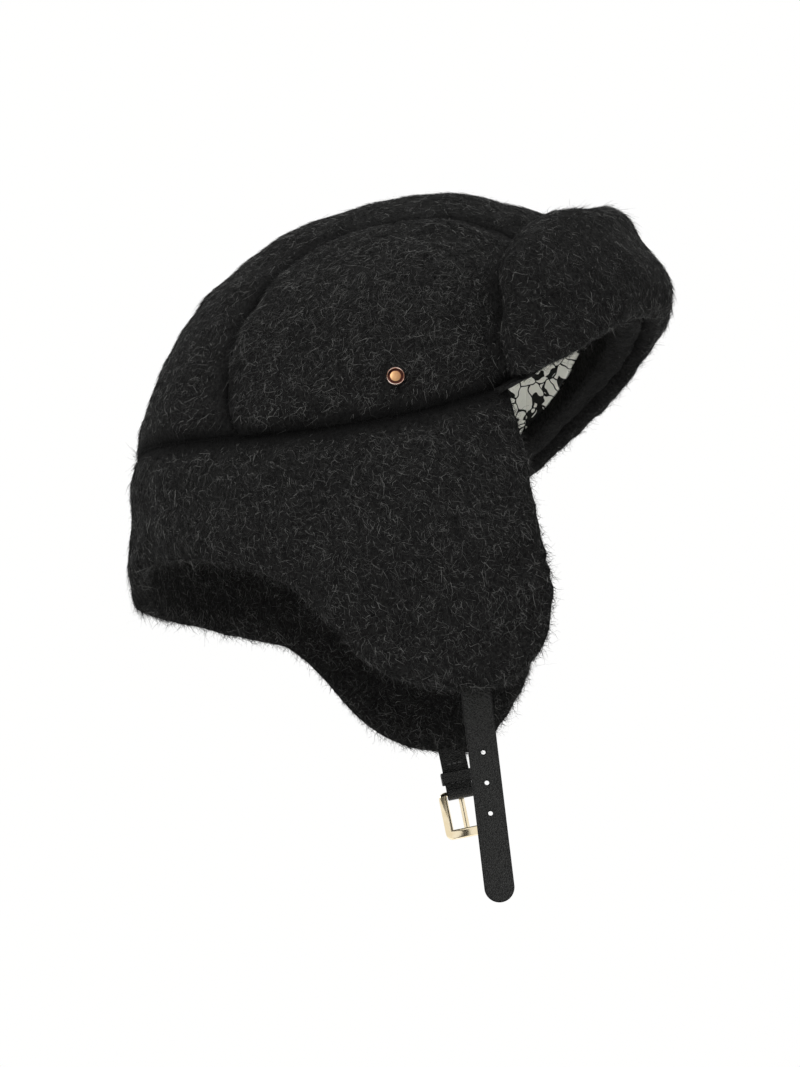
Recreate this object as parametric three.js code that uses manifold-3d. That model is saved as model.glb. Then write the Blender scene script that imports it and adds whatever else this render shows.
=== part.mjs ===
// Padded winter trapper hat: a three-piece crown, a neck band, two ear flaps, a turned-up front flap,
// a chin strap with punched holes and a buckle on its folded strap.
// Millimetres. +Z is up, the front faces -Y and the wearer's right is -X.
// The origin is in the middle of the head opening, level with the crown seam at the back of the hat.
import * as THREE from 'three';
import { mergeVertices } from 'three/addons/utils/BufferGeometryUtils.js';
import Module from 'manifold-3d';

const wasm = await Module();
wasm.setup();

// ---- Driving dimensions ----
const CROWN = { halfLength: 120, halfWidth: 92, height: 99, roundness: 2.15, lean: 27 };
const SEAM = { sideDrop: 24, browRise: 22 }; // crown seam: how far it dips at the sides and rises at the brow
const CENTRE_PANEL = { halfWidth: 61, endHalfWidth: 75 }; // it widens towards its front and back ends
const SEAM_GAP = 0.4; // free space left at every sewn joint and between layers
const SHELL = [0, 2.6]; // each cloth layer runs from one depth to another below the outer surface
const WADDING = [3.9, 8.1];
const LINING = [9.4, 11.4];
const BAND = { setIn: 1, bulge: 6, bulgeDepth: 110, backFlare: 0.22 };
const EAR_FRONT = { y: -49, z: -39 }; // the ear flap's fold line runs from the temple ...
const EAR_NOTCH = { y: 64, z: -81 }; // ... to the notch where the flap meets the neck edge
const EAR_BOTTOM_Z = -148;
const EAR = {
  edgeGap: 1, // the flap stops this far short of its fold line and of the notch
  frontEdgeZ: -98, // the straight front edge turns towards the bottom from here
  frontHandles: { z: -126, y: -38 },
  lowestY: -14,
  rearCorner: { y: 38, z: -121 },
  rearCornerHandles: { lowY: 8, y: 26, z: -139 },
  rearEdgeHandles: [{ y: 46, z: -108 }, { y: 52, z: -94 }],
  middle: { y: -5, z: -95 },
  waddingTrim: 2,
};
const NECK_EDGE_BACK_Z = -60;
const FLAP_FACING = [-4.4, -2]; // negative depths stand outside the crown
const FLAP_WADDING = [-14.4, -5.4];
const FLAP_SHELL = [-18, -15.4];
const FLAP = { reach: 69, topFront: 65, topTemple: 50, cornerPower: 5 };
const BROW_FACING_RISE = 20;
const BROW_FACING_FADE = 75; // degrees from the front at which the brow facing has run out
const STUD = {
  y: -2.6, z: -7.5, radius: 4.2, postRadius: 1.5, holeRadius: 1.9, pocketRadius: 5.6,
  capHeight: 1.5, grooveHeight: 0.7, rimSlope: 0.4, rimWidth: 1, grooveWidth: 1.4,
  buttonHeight: 1.1, crownHeight: 1.3,
  postReach: 5.6, backThickness: 0.8, backInset: 3.8, backClearance: 0.3,
};
const STRAP = {
  width: 12.6, thickness: 2.2, length: 89, lean: 5, y: -9, x: 84, sewnGap: 1, curveSegments: 10,
};
const STRAP_HOLES = { radius: 1, first: 25.6, pitch: 13 };
const CHAPE = {
  thickness: 4.2, length: 18.5, y: -3, loopRadius: 3.1, barHole: 1.8, slotWidth: 3.4, slotClearance: 1,
};
const KEEPER = { drop: 13.8, height: 5.4, wall: 1.4, gap: 0.4 };
const BUCKLE = {
  width: 21.5, height: 23, sideBar: 4, endBar: 4.6, hingeBar: 2.2, thickness: 2, corner: 3.4, curveSegments: 5,
};
const PRONG = { width: 2.6, ringRadius: 2.9, length: 20.6, innerFace: 1.4, tipRise: 1 };

const RIGHT = -1; // the sign of X on the wearer's right
const LEFT = 1;
const FULL_TURN = 2 * Math.PI;
const MERGE_WITHIN = 1e-4; // corners closer than this are one corner
const hat = new THREE.Group();

// ---- Materials ----
function material(color, roughness, metalness = 0) {
  return new THREE.MeshStandardMaterial({ color, roughness, metalness });
}

const mohair = () => material(0x262626, 0.95);
const wadding = () => material(0xd9d6cf, 1);
const satin = () => material(0xb9b7a6, 0.45);
const leather = () => material(0x2d302d, 0.5);
const paleGold = () => material(0xe6d3a8, 0.15, 1);
const roseGold = () => material(0xc98f6b, 0.2, 1);

function add(name, geometry, surface) {
  const mesh = new THREE.Mesh(geometry, surface);
  mesh.name = name;
  hat.add(mesh);
  return mesh;
}

// ---- Surfaces of the hat ----
const radians = THREE.MathUtils.degToRad;
const power = (value, exponent) => Math.sign(value) * Math.abs(value) ** exponent;
const round = (value) => power(value, 2 / CROWN.roundness);
const mix = THREE.MathUtils.lerp;

// Height of the crown seam at an angle round the head, 0 at the front and 180 degrees at the back.
function seamHeight(angle) {
  const towardsFront = Math.max(Math.cos(angle), 0) ** 2;
  const rise = (SEAM.sideDrop + SEAM.browRise) * towardsFront;
  const backRise = SEAM.sideDrop * Math.min(Math.cos(angle), 0) ** 2;
  return rise + backRise - SEAM.sideDrop;
}

// The crown is a rounded dome that leans forward; depth moves the surface inwards.
function domeSize(depth) {
  return new THREE.Vector3(CROWN.halfWidth - depth, CROWN.halfLength - depth, CROWN.height - depth);
}

function lean(point, size) {
  point.y -= CROWN.lean * Math.max(point.z, 0) / size.z;
  return point;
}

// A point in any direction from the origin, moved in or out until it lies on the dome.
function ontoDome(direction, depth) {
  const size = domeSize(depth);
  const n = CROWN.roundness;
  const height = Math.max(direction.z, 0);
  const level = Math.abs(direction.x / size.x) ** n + Math.abs(direction.y / size.y) ** n;
  const sum = level + (height / size.z) ** n;
  return lean(direction.clone().divideScalar(sum ** (1 / n)), size);
}

// The dome cut by a plane x = constant gives an arch; turn runs from 0 at the back to PI at the front.
function onArch(x, turn, depth) {
  const size = domeSize(depth);
  const n = CROWN.roundness;
  const share = (1 - Math.abs(x / size.x) ** n) ** (1 / n);
  const y = size.y * share * round(Math.cos(turn));
  const z = size.z * share * round(Math.sin(turn));
  return lean(new THREE.Vector3(x, y, z), size);
}

// The wall of the hat at an angle and a height: the dome above the seam, the bulging band below it.
function onWall(angle, z, depth) {
  const seam = seamHeight(angle);
  if (z >= seam) {
    const size = domeSize(depth);
    const narrowing = (1 - (Math.max(z, 0) / size.z) ** CROWN.roundness) ** (1 / CROWN.roundness);
    const x = -size.x * narrowing * round(Math.sin(angle));
    const y = -size.y * narrowing * round(Math.cos(angle));
    return lean(new THREE.Vector3(x, y, z), size);
  }
  const below = seam - z;
  const bulge = BAND.bulge * Math.sin(Math.PI * Math.min(below / BAND.bulgeDepth, 1)) - BAND.setIn;
  const flare = Math.cos(angle) < 0 ? BAND.backFlare * below : 0;
  const x = -(CROWN.halfWidth + bulge - depth) * round(Math.sin(angle));
  const y = -(CROWN.halfLength + flare - BAND.setIn - depth) * round(Math.cos(angle));
  return new THREE.Vector3(x, y, z);
}

// Angle round the head of a place on the side, given how far behind the middle it is.
function angleAt(y) {
  return Math.acos(-power(y / CROWN.halfLength, CROWN.roundness / 2));
}

// ---- Closed solids from curved patches ----
function faceOutwards(geometry) {
  const place = geometry.attributes.position;
  const corner = (n) => new THREE.Vector3().fromBufferAttribute(place, geometry.index.getX(n));
  let volume = 0;
  for (let n = 0; n < geometry.index.count; n += 3) {
    volume += corner(n).dot(corner(n + 1).cross(corner(n + 2)));
  }
  if (volume < 0) geometry.index.array.reverse();
  geometry.computeVertexNormals();
  return geometry;
}

// A box whose unit coordinates u, v and w are sent to places on the hat.
function bentBox(acrossSteps, upSteps, placeOf) {
  const geometry = new THREE.BoxGeometry(1, 1, 1, acrossSteps, upSteps, 1);
  const place = geometry.attributes.position;
  for (let n = 0; n < place.count; n += 1) {
    const point = placeOf(place.getX(n) + 0.5, place.getY(n) + 0.5, place.getZ(n) + 0.5);
    place.setXYZ(n, point.x, point.y, point.z);
  }
  return faceOutwards(geometry);
}

// A flat-edged slab with any outline: a sphere whose two halves become the outer and inner faces.
function bentSlab(outline, middle, rings, placeOf) {
  const edge = outline.getSpacedPoints(outline.steps);
  const geometry = new THREE.SphereGeometry(1, outline.steps, 2 * rings);
  const place = geometry.attributes.position;
  for (let n = 0; n < place.count; n += 1) {
    const row = Math.floor(n / (outline.steps + 1));
    const column = (n % (outline.steps + 1)) % outline.steps;
    const outerRow = row < rings ? row : 2 * rings - row;
    const reach = row < rings ? (outerRow + 1) / rings : outerRow / rings;
    const share = outerRow === 0 ? 0 : Math.min(reach, 1);
    const y = mix(middle.x, edge[column].x, share);
    const z = mix(middle.y, edge[column].y, share);
    const point = placeOf(y, z, row < rings ? 0 : 1);
    place.setXYZ(n, point.x, point.y, point.z);
  }
  return faceOutwards(geometry);
}

// A shape drawn flat and given a thickness, half of it on either side of the drawing.
function extruded(shape, thickness, curveSegments) {
  const geometry = new THREE.ExtrudeGeometry(shape, { depth: thickness, bevelEnabled: false, curveSegments });
  geometry.translate(0, 0, -thickness / 2);
  return geometry;
}

function asManifold(geometry) {
  const bare = geometry.index ? geometry.clone() : geometry;
  bare.deleteAttribute('normal');
  bare.deleteAttribute('uv');
  const merged = mergeVertices(bare, MERGE_WITHIN);
  const vertProperties = new Float32Array(merged.attributes.position.array);
  const triVerts = new Uint32Array(merged.index.array);
  return new wasm.Manifold(new wasm.Mesh({ numProp: 3, vertProperties, triVerts }));
}

function cut(geometry, ...tools) {
  const left = tools.reduce((body, tool) => body.subtract(asManifold(tool)), asManifold(geometry));
  const mesh = left.getMesh();
  const result = new THREE.BufferGeometry();
  result.setAttribute('position', new THREE.BufferAttribute(new Float32Array(mesh.vertProperties), 3));
  result.setIndex(new THREE.BufferAttribute(new Uint32Array(mesh.triVerts), 1));
  result.computeVertexNormals();
  return result;
}

// ---- Crown: one wide centre panel from back to front and a side panel each side, in three layers ----
// Lower edge of a crown layer: the seam, raised at the front where the brow facing covers the wall.
function hemHeight(angle, raised) {
  const fromFront = Math.acos(Math.cos(angle)) / radians(BROW_FACING_FADE);
  const rise = fromFront < 1 ? BROW_FACING_RISE * Math.cos(fromFront * Math.PI / 2) ** 2 : 0;
  return seamHeight(angle) + SEAM_GAP + (raised ? rise : 0);
}

// Where an arch at x meets the hem, as a turn along the arch.
function hemTurn(x, depth, raised, front) {
  const size = domeSize(depth);
  const n = CROWN.roundness;
  const side = Math.asin(Math.abs(x / size.x) ** (n / 2));
  const height = hemHeight(front ? side : Math.PI - side, raised);
  const share = (1 - Math.abs(x / size.x) ** n) ** (1 / n);
  const turn = Math.asin(power(height / (size.z * share), n / 2));
  return front ? Math.PI - turn : turn;
}

// Half the centre panel's width, by how far along the arch it is measured.
function panelHalfWidth(turn, depth) {
  const width = mix(CENTRE_PANEL.halfWidth, CENTRE_PANEL.endHalfWidth, Math.cos(turn) ** 2);
  return width * domeSize(depth).x / CROWN.halfWidth;
}

function centrePanel([outer, inner], raised) {
  const acrossSteps = 22;
  const sideSteps = 8;
  return bentBox(acrossSteps, sideSteps, (u, v, w) => {
    const depth = mix(outer, inner, w);
    const halfWidth = panelHalfWidth(u * Math.PI, depth) - SEAM_GAP;
    const x = mix(-halfWidth, halfWidth, v);
    const turn = mix(hemTurn(x, depth, raised, false), hemTurn(x, depth, raised, true), u);
    return onArch(x, turn, depth);
  });
}

function sidePanel(side, [outer, inner], raised) {
  const alongSteps = 12;
  const upSteps = 5;
  const cornerTrim = 0.012; // the two end corners are cut short so that they never come to a point
  return bentBox(alongSteps, upSteps, (u, v, w) => {
    const depth = mix(outer, inner, w);
    const size = domeSize(depth);
    const along = mix(cornerTrim, 1 - cornerTrim, u);
    const x = panelHalfWidth(along * Math.PI, depth) + SEAM_GAP;
    const cornerAngle = Math.asin(((panelHalfWidth(0, depth) + SEAM_GAP) / size.x) ** (CROWN.roundness / 2));
    const angle = mix(Math.PI - cornerAngle, cornerAngle, along);
    const hem = hemHeight(angle, raised);
    const bottom = onWall(angle, hem, depth);
    const turn = mix(hemTurn(x, depth, raised, false), hemTurn(x, depth, raised, true), along);
    const top = onArch(-x, turn, depth);
    const upright = (point) => lean(point, { z: -size.z }); // takes the lean off again
    const point = ontoDome(upright(bottom).lerp(upright(top), v), depth);
    point.x *= -side;
    return point;
  });
}

function studTool(side, radius) {
  const drillDepth = 40;
  const drillSides = 16;
  const tool = new THREE.CylinderGeometry(radius, radius, drillDepth, drillSides);
  tool.rotateZ(Math.PI / 2);
  tool.translate(side * CROWN.halfWidth, STUD.y, STUD.z);
  return tool;
}

function makeCrown() {
  add('crown_centre_panel', centrePanel(SHELL, false), mohair());
  add('crown_centre_wadding', centrePanel(WADDING, false), wadding());
  add('lining_centre_panel', centrePanel(LINING, true), satin());
  for (const [side, name] of [[RIGHT, 'right'], [LEFT, 'left']]) {
    const shell = cut(sidePanel(side, SHELL, false), studTool(side, STUD.holeRadius));
    const pad = cut(sidePanel(side, WADDING, false), studTool(side, STUD.pocketRadius));
    add(`crown_side_panel_${name}`, shell, mohair());
    add(`crown_side_wadding_${name}`, pad, wadding());
    add(`lining_side_panel_${name}`, sidePanel(side, LINING, true), satin());
  }
}

function makeBrowFacing() {
  const aroundSteps = 14;
  const upSteps = 2;
  const geometry = bentBox(aroundSteps, upSteps, (u, v, w) => {
    const angle = radians(mix(-FLAP.reach, FLAP.reach, u));
    const bottom = seamHeight(angle) - SEAM_GAP;
    const top = hemHeight(angle, true) - 2 * SEAM_GAP;
    return onWall(angle, Math.max(mix(bottom, top, v), seamHeight(angle)), mix(LINING[0], LINING[1], w));
  });
  add('brow_facing', geometry, mohair());
}

// ---- Neck band: from temple to temple round the back, above the ear flaps' fold lines ----
function foldLineZ(y) {
  return mix(EAR_FRONT.z, EAR_NOTCH.z, (y - EAR_FRONT.y) / (EAR_NOTCH.y - EAR_FRONT.y));
}

function neckBottom(angle) {
  const halfAngle = Math.acos(Math.cos(angle));
  const notchAngle = angleAt(EAR_NOTCH.y);
  if (halfAngle < notchAngle) {
    const y = -CROWN.halfLength * round(Math.cos(halfAngle));
    return foldLineZ(y) + SEAM_GAP;
  }
  const sweep = (Math.PI - halfAngle) / (Math.PI - notchAngle);
  const curl = 2.2; // how late the neck edge starts to drop towards the notch
  return mix(NECK_EDGE_BACK_Z, EAR_NOTCH.z, sweep ** curl);
}

function makeNeckBand() {
  const aroundSteps = 30;
  const upSteps = 3;
  const start = angleAt(EAR_FRONT.y);
  const band = ([outer, inner]) => bentBox(aroundSteps, upSteps, (u, v, w) => {
    const angle = mix(start, FULL_TURN - start, u);
    const z = mix(neckBottom(angle), seamHeight(angle) - SEAM_GAP, v);
    return onWall(angle, z, mix(outer, inner, w));
  });
  add('neck_band', band(SHELL), mohair());
  add('neck_wadding', band(WADDING), wadding());
  add('neck_facing', band(LINING), mohair());
}

// ---- Ear flaps ----
function earOutline(trim) {
  const outline = new THREE.Shape();
  const frontY = EAR_FRONT.y - EAR.edgeGap + trim;
  const bottomZ = EAR_BOTTOM_Z + trim;
  const { frontHandles, rearCorner, rearCornerHandles } = EAR;
  const [low, high] = EAR.rearEdgeHandles;
  outline.moveTo(frontY + EAR.edgeGap, EAR_FRONT.z - EAR.edgeGap - trim);
  outline.lineTo(frontY, EAR.frontEdgeZ);
  outline.bezierCurveTo(frontY, frontHandles.z, frontHandles.y, bottomZ, EAR.lowestY, bottomZ);
  outline.bezierCurveTo(
    rearCornerHandles.lowY, bottomZ,
    rearCornerHandles.y - trim, rearCornerHandles.z + trim,
    rearCorner.y - trim, rearCorner.z,
  );
  outline.bezierCurveTo(
    low.y - trim, low.z,
    high.y - trim, high.z,
    EAR_NOTCH.y - EAR.edgeGap - 2 * trim, EAR_NOTCH.z - EAR.edgeGap,
  );
  outline.closePath();
  outline.steps = 34;
  return outline;
}

function makeEarFlaps() {
  const middle = new THREE.Vector2(EAR.middle.y, EAR.middle.z);
  const rings = 3;
  const layers = {
    shell: [SHELL, mohair, 0],
    wadding: [WADDING, wadding, EAR.waddingTrim],
    facing: [LINING, mohair, 0],
  };
  for (const [side, sideName] of [[RIGHT, 'right'], [LEFT, 'left']]) {
    for (const [layerName, [[outer, inner], surface, trim]] of Object.entries(layers)) {
      const geometry = bentSlab(earOutline(trim), middle, rings, (y, z, w) => {
        const point = onWall(angleAt(y), z, mix(outer, inner, w));
        return new THREE.Vector3(-side * point.x, y, z);
      });
      add(`ear_flap_${sideName}_${layerName}`, geometry, surface());
    }
  }
}

// ---- Front flap, turned up against the crown ----
function makeFrontFlap() {
  const aroundSteps = 18;
  const upSteps = 4;
  const endTrim = 0.99; // stops just short of where the rounded ends close to a line
  const belowSeam = 3;
  const layer = ([outer, inner]) => bentBox(aroundSteps, upSteps, (u, v, w) => {
    const across = mix(-endTrim, endTrim, u);
    const angle = radians(FLAP.reach) * across;
    const bottom = seamHeight(angle) - belowSeam;
    const top = mix(FLAP.topTemple, FLAP.topFront, Math.cos(angle) ** 2);
    const fullness = (1 - Math.abs(across) ** FLAP.cornerPower) ** (2 / FLAP.cornerPower);
    const z = (bottom + top) / 2 + (v - 0.5) * (top - bottom) * fullness;
    const wall = onWall(angle, Math.max(z, seamHeight(angle)), mix(outer, inner, w));
    return new THREE.Vector3(wall.x, wall.y, z);
  });
  add('front_flap_shell', layer(FLAP_SHELL), mohair());
  add('front_flap_wadding', layer(FLAP_WADDING), wadding());
  add('front_flap_facing', layer(FLAP_FACING), mohair());
}

// ---- Studs through the crown sides ----
function turned(profile, segments = 18) {
  return new THREE.LatheGeometry(profile.map(([r, h]) => new THREE.Vector2(r, h)), segments);
}

function makeStuds() {
  const { radius, postRadius, grooveHeight, capHeight, postReach, backThickness } = STUD;
  const capProfile = [
    [0, -postReach], [postRadius, -postReach], [postRadius, 0], [radius, 0],
    [radius, grooveHeight], [radius - STUD.rimSlope, capHeight], [radius - STUD.rimWidth, capHeight],
    [radius - STUD.grooveWidth, grooveHeight], [postRadius + STUD.rimSlope, grooveHeight],
    [postRadius, STUD.buttonHeight], [0, STUD.crownHeight],
  ];
  const backRadius = postRadius + STUD.backClearance;
  const backProfile = [
    [backRadius, 0], [radius, 0], [radius, backThickness], [backRadius, backThickness], [backRadius, 0],
  ];
  for (const [side, name] of [[RIGHT, 'right'], [LEFT, 'left']]) {
    const cap = add(`stud_cap_${name}`, faceOutwards(turned(capProfile)), roseGold());
    const back = add(`stud_back_${name}`, faceOutwards(turned(backProfile)), roseGold());
    for (const piece of [cap, back]) piece.rotation.z = -side * Math.PI / 2;
    cap.position.set(side * (CROWN.halfWidth + SEAM_GAP), STUD.y, STUD.z);
    back.position.set(side * (CROWN.halfWidth - STUD.backInset - backThickness), STUD.y, STUD.z);
  }
}

// ---- Chin strap with punched holes, on the right ear flap ----
function makeHoleStrap() {
  const strap = new THREE.Shape();
  const half = STRAP.width / 2;
  strap.moveTo(-half, 0);
  strap.lineTo(-half, half - STRAP.length);
  strap.absarc(0, half - STRAP.length, half, Math.PI, FULL_TURN);
  strap.lineTo(half, 0);
  strap.closePath();
  const holeCount = 3;
  for (let n = 0; n < holeCount; n += 1) {
    const hole = new THREE.Path();
    hole.absarc(0, -STRAP_HOLES.first - n * STRAP_HOLES.pitch, STRAP_HOLES.radius, 0, FULL_TURN);
    strap.holes.push(hole);
  }
  const geometry = extruded(strap, STRAP.thickness, STRAP.curveSegments);
  const mesh = add('hole_strap', geometry, leather());
  mesh.rotation.set(Math.PI / 2 + radians(STRAP.lean), Math.PI / 2, 0);
  mesh.position.set(RIGHT * STRAP.x, STRAP.y, EAR_BOTTOM_Z - STRAP.sewnGap);
}

// ---- Buckle strap, keeper, buckle and prong, on the left ear flap ----
const barZ = EAR_BOTTOM_Z - CHAPE.length;

// Sections are drawn outwards (first) by upwards (second) and run across the strap's width.
function acrossStrap(section, width) {
  const geometry = extruded(section, width, STRAP.curveSegments);
  geometry.rotateX(Math.PI / 2);
  return geometry;
}

function makeBuckleStrap() {
  const section = new THREE.Shape();
  const half = CHAPE.thickness / 2;
  const meet = Math.acos(half / CHAPE.loopRadius);
  const top = EAR_BOTTOM_Z - STRAP.sewnGap - barZ;
  section.moveTo(half, top);
  section.lineTo(-half, top);
  section.absarc(0, 0, CHAPE.loopRadius, Math.PI - meet, FULL_TURN + meet);
  section.closePath();
  const barHole = new THREE.Path();
  barHole.absarc(0, 0, CHAPE.barHole, 0, FULL_TURN);
  section.holes.push(barHole);
  const prongRoom = CHAPE.loopRadius + CHAPE.slotClearance;
  const slot = new THREE.BoxGeometry(4 * prongRoom, CHAPE.slotWidth, 2 * prongRoom);
  const geometry = cut(acrossStrap(section, STRAP.width), slot);
  add('buckle_strap', geometry, leather()).position.set(LEFT * STRAP.x, CHAPE.y, barZ);
}

function rectangle(Kind, width, height) {
  const path = new Kind();
  path.moveTo(-width / 2, -height / 2);
  path.lineTo(width / 2, -height / 2);
  path.lineTo(width / 2, height / 2);
  path.lineTo(-width / 2, height / 2);
  path.closePath();
  return path;
}

function makeKeeper() {
  const innerWidth = STRAP.width + 2 * KEEPER.gap;
  const innerDepth = CHAPE.thickness + 2 * KEEPER.gap;
  const ring = rectangle(THREE.Shape, innerDepth + 2 * KEEPER.wall, innerWidth + 2 * KEEPER.wall);
  ring.holes.push(rectangle(THREE.Path, innerDepth, innerWidth));
  const geometry = new THREE.ExtrudeGeometry(ring, { depth: KEEPER.height, bevelEnabled: false });
  add('keeper_loop', geometry, leather()).position.set(LEFT * STRAP.x, CHAPE.y, EAR_BOTTOM_Z - KEEPER.drop);
}

// The buckle hangs from its thin hinge bar, which is on the local origin.
function makeBuckleFrame() {
  const half = BUCKLE.width / 2;
  const topY = BUCKLE.hingeBar / 2;
  const bottomY = topY - BUCKLE.height;
  const frame = new THREE.Shape();
  const quarter = Math.PI / 2;
  frame.absarc(half - BUCKLE.corner, topY - BUCKLE.corner, BUCKLE.corner, 0, quarter);
  frame.absarc(BUCKLE.corner - half, topY - BUCKLE.corner, BUCKLE.corner, quarter, 2 * quarter);
  frame.absarc(BUCKLE.corner - half, bottomY + BUCKLE.corner, BUCKLE.corner, 2 * quarter, 3 * quarter);
  frame.absarc(half - BUCKLE.corner, bottomY + BUCKLE.corner, BUCKLE.corner, 3 * quarter, 4 * quarter);
  frame.closePath();
  const innerWidth = BUCKLE.width - 2 * BUCKLE.sideBar;
  const innerHeight = BUCKLE.height - BUCKLE.hingeBar - BUCKLE.endBar;
  const opening = rectangle(THREE.Path, innerWidth, innerHeight);
  const middle = -topY - innerHeight / 2;
  opening.curves.forEach((line) => [line.v1, line.v2].forEach((end) => end.setY(end.y + middle)));
  frame.holes.push(opening);
  const geometry = extruded(frame, BUCKLE.thickness, BUCKLE.curveSegments);
  geometry.rotateX(Math.PI / 2);
  geometry.rotateZ(Math.PI / 2);
  add('buckle_frame', geometry, paleGold()).position.set(LEFT * STRAP.x, CHAPE.y, barZ);
}

function makeProng() {
  const section = new THREE.Shape();
  const meet = Math.acos(PRONG.innerFace / PRONG.ringRadius);
  section.absarc(0, 0, PRONG.ringRadius, 0, FULL_TURN - meet);
  section.lineTo(PRONG.innerFace, PRONG.tipRise - PRONG.length);
  section.lineTo((PRONG.innerFace + PRONG.ringRadius) / 2, -PRONG.length);
  section.lineTo(PRONG.ringRadius, PRONG.tipRise - PRONG.length);
  section.closePath();
  const barHole = new THREE.Path();
  barHole.absarc(0, 0, CHAPE.barHole, 0, FULL_TURN);
  section.holes.push(barHole);
  const prong = add('buckle_prong', acrossStrap(section, PRONG.width), paleGold());
  prong.position.set(LEFT * STRAP.x, CHAPE.y, barZ);
}

makeCrown();
makeBrowFacing();
makeNeckBand();
makeEarFlaps();
makeFrontFlap();
makeStuds();
makeHoleStrap();
makeBuckleStrap();
makeKeeper();
makeBuckleFrame();
makeProng();

export default hat;
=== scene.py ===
"""Padded winter trapper hat in black brushed mohair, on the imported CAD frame.

+Z is up, the hat faces -Y, and the wearer's right is -X. Sizes are in millimetres until a mesh is made.
"""

import math

import bmesh
import bpy
import numpy as np
from mathutils import Matrix, Vector, kdtree, noise


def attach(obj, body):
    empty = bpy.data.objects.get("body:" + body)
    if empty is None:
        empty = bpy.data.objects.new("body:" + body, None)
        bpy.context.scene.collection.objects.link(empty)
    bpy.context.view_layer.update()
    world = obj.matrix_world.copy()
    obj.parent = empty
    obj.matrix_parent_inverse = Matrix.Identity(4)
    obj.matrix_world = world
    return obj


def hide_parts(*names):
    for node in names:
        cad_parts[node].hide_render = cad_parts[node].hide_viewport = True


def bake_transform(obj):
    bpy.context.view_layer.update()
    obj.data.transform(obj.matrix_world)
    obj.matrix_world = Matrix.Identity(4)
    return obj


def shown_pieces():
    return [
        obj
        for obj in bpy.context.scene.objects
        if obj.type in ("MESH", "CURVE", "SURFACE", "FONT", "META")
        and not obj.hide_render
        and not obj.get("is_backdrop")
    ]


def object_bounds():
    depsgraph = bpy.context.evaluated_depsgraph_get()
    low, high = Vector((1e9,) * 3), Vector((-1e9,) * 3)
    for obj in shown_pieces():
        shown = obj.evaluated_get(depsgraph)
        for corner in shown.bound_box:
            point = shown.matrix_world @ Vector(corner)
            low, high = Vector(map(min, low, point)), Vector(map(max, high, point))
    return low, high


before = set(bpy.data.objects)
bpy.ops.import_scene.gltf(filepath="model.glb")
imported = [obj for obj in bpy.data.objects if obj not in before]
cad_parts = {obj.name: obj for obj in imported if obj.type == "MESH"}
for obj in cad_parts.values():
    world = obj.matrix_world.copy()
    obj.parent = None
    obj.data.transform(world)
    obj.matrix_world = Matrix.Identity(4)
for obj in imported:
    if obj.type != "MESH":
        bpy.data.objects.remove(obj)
cad_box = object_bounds()

MM = 0.001
LEFT, RIGHT = 1, -1
SIDES = ((RIGHT, "right"), (LEFT, "left"))
SEED = 20
noise.seed_set(SEED)  # noise vectors are seeded from the clock otherwise

# ---- Driving dimensions, millimetres, the same surfaces as the CAD part ----
HALF_LENGTH, HALF_WIDTH, HEIGHT = 120.0, 92.0, 99.0
ROUNDNESS = 2.15  # power of the dome's superellipse
LEAN = 27.0  # the top of the dome leans this far forwards
SIDE_DROP, BROW_RISE = 24.0, 22.0
PANEL_HALF, PANEL_END_HALF = 61.0, 75.0  # half width of the centre panel on top, and at its ends
BAND_SET_IN, BAND_BULGE, BAND_BULGE_DEPTH, BAND_FLARE = 1.0, 6.0, 110.0, 0.22
EAR_FRONT_Y, EAR_FRONT_Z = -49.0, -39.0
EAR_FRONT_ROLL = 4.5  # the rolled front edge of the cloth stands this far before the CAD flap's cut edge
NOTCH_Y, NOTCH_Z = 64.0, -81.0
EAR_BOTTOM_Z, NECK_BACK_Z = -148.0, -64.5
NECK_CURL, NECK_LIFT_SKEW = 2.7, 0.75
NECK_LIFT = {RIGHT: 9.5, LEFT: -1.3}  # the right half of the neck edge is rolled up further than the left
EAR_EDGE_Z = -98.0
EAR_FRONT_HANDLE = {RIGHT: (-37.0, -128.0), LEFT: (-25.0, -116.0)}
EAR_LOWEST_Y = -14.0
EAR_SWELL, EAR_SWELL_Z = 1.0, -112.0  # the flap's front edge bows forwards a little at this height
EAR_SWELL_REACH = (22.0, 18.0)  # up and down the edge, and in from it
EAR_REAR_CORNER = (36.0, -118.5)
EAR_REAR_HANDLES = ((8.0, EAR_BOTTOM_Z), (24.0, -137.5), (44.0, -105.0), (50.5, -90.5))
FLAP_REACH = math.radians(69)
FLAP_TOP_FRONT, FLAP_TOP_TEMPLE = 70.5, 58.0
FLAP_CORNER, FLAP_CORNER_LOW = 5.0, 16.0  # powers that round the upper and the lower corners
FLAP_DEPTHS = (-16.8, -1.4)  # of the outer and the inner face: in front of the crown
FLAP_SPAN = 0.992  # share of the flap's reach that the cloth takes up
FLAP_ROLL = 9.5
FLAP_HANG_RIGHT, FLAP_HANG_LEFT = 1.5, 6.0
FLAP_CORNER_HANG, FLAP_CORNER_POWER = 5.0, 8
# The front of the flap is hollow at one height and full at another: height, depth and reach.
FLAP_HOLLOWS = ((52.0, 2.8, 14.0), (30.0, -2.0, 12.0))
FLAP_HANG_TURNS = (math.radians(-5), math.radians(40))  # the hang changes sides between these angles
BROW_RISE_FACING, BROW_FADE = 20.0, math.radians(75)
BROW_HANG, BROW_LAP, BROW_ROLL = 0.75, 1.0, 4.0  # the brow reaches this share of the flap's hang
BROW_OUTER_DEPTHS, BROW_STEP = (-2.0, 8.7), (-1.6, 1.2)  # it steps in behind the crown just above the seam
BROW_INNER_DEPTH = 12.6

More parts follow.
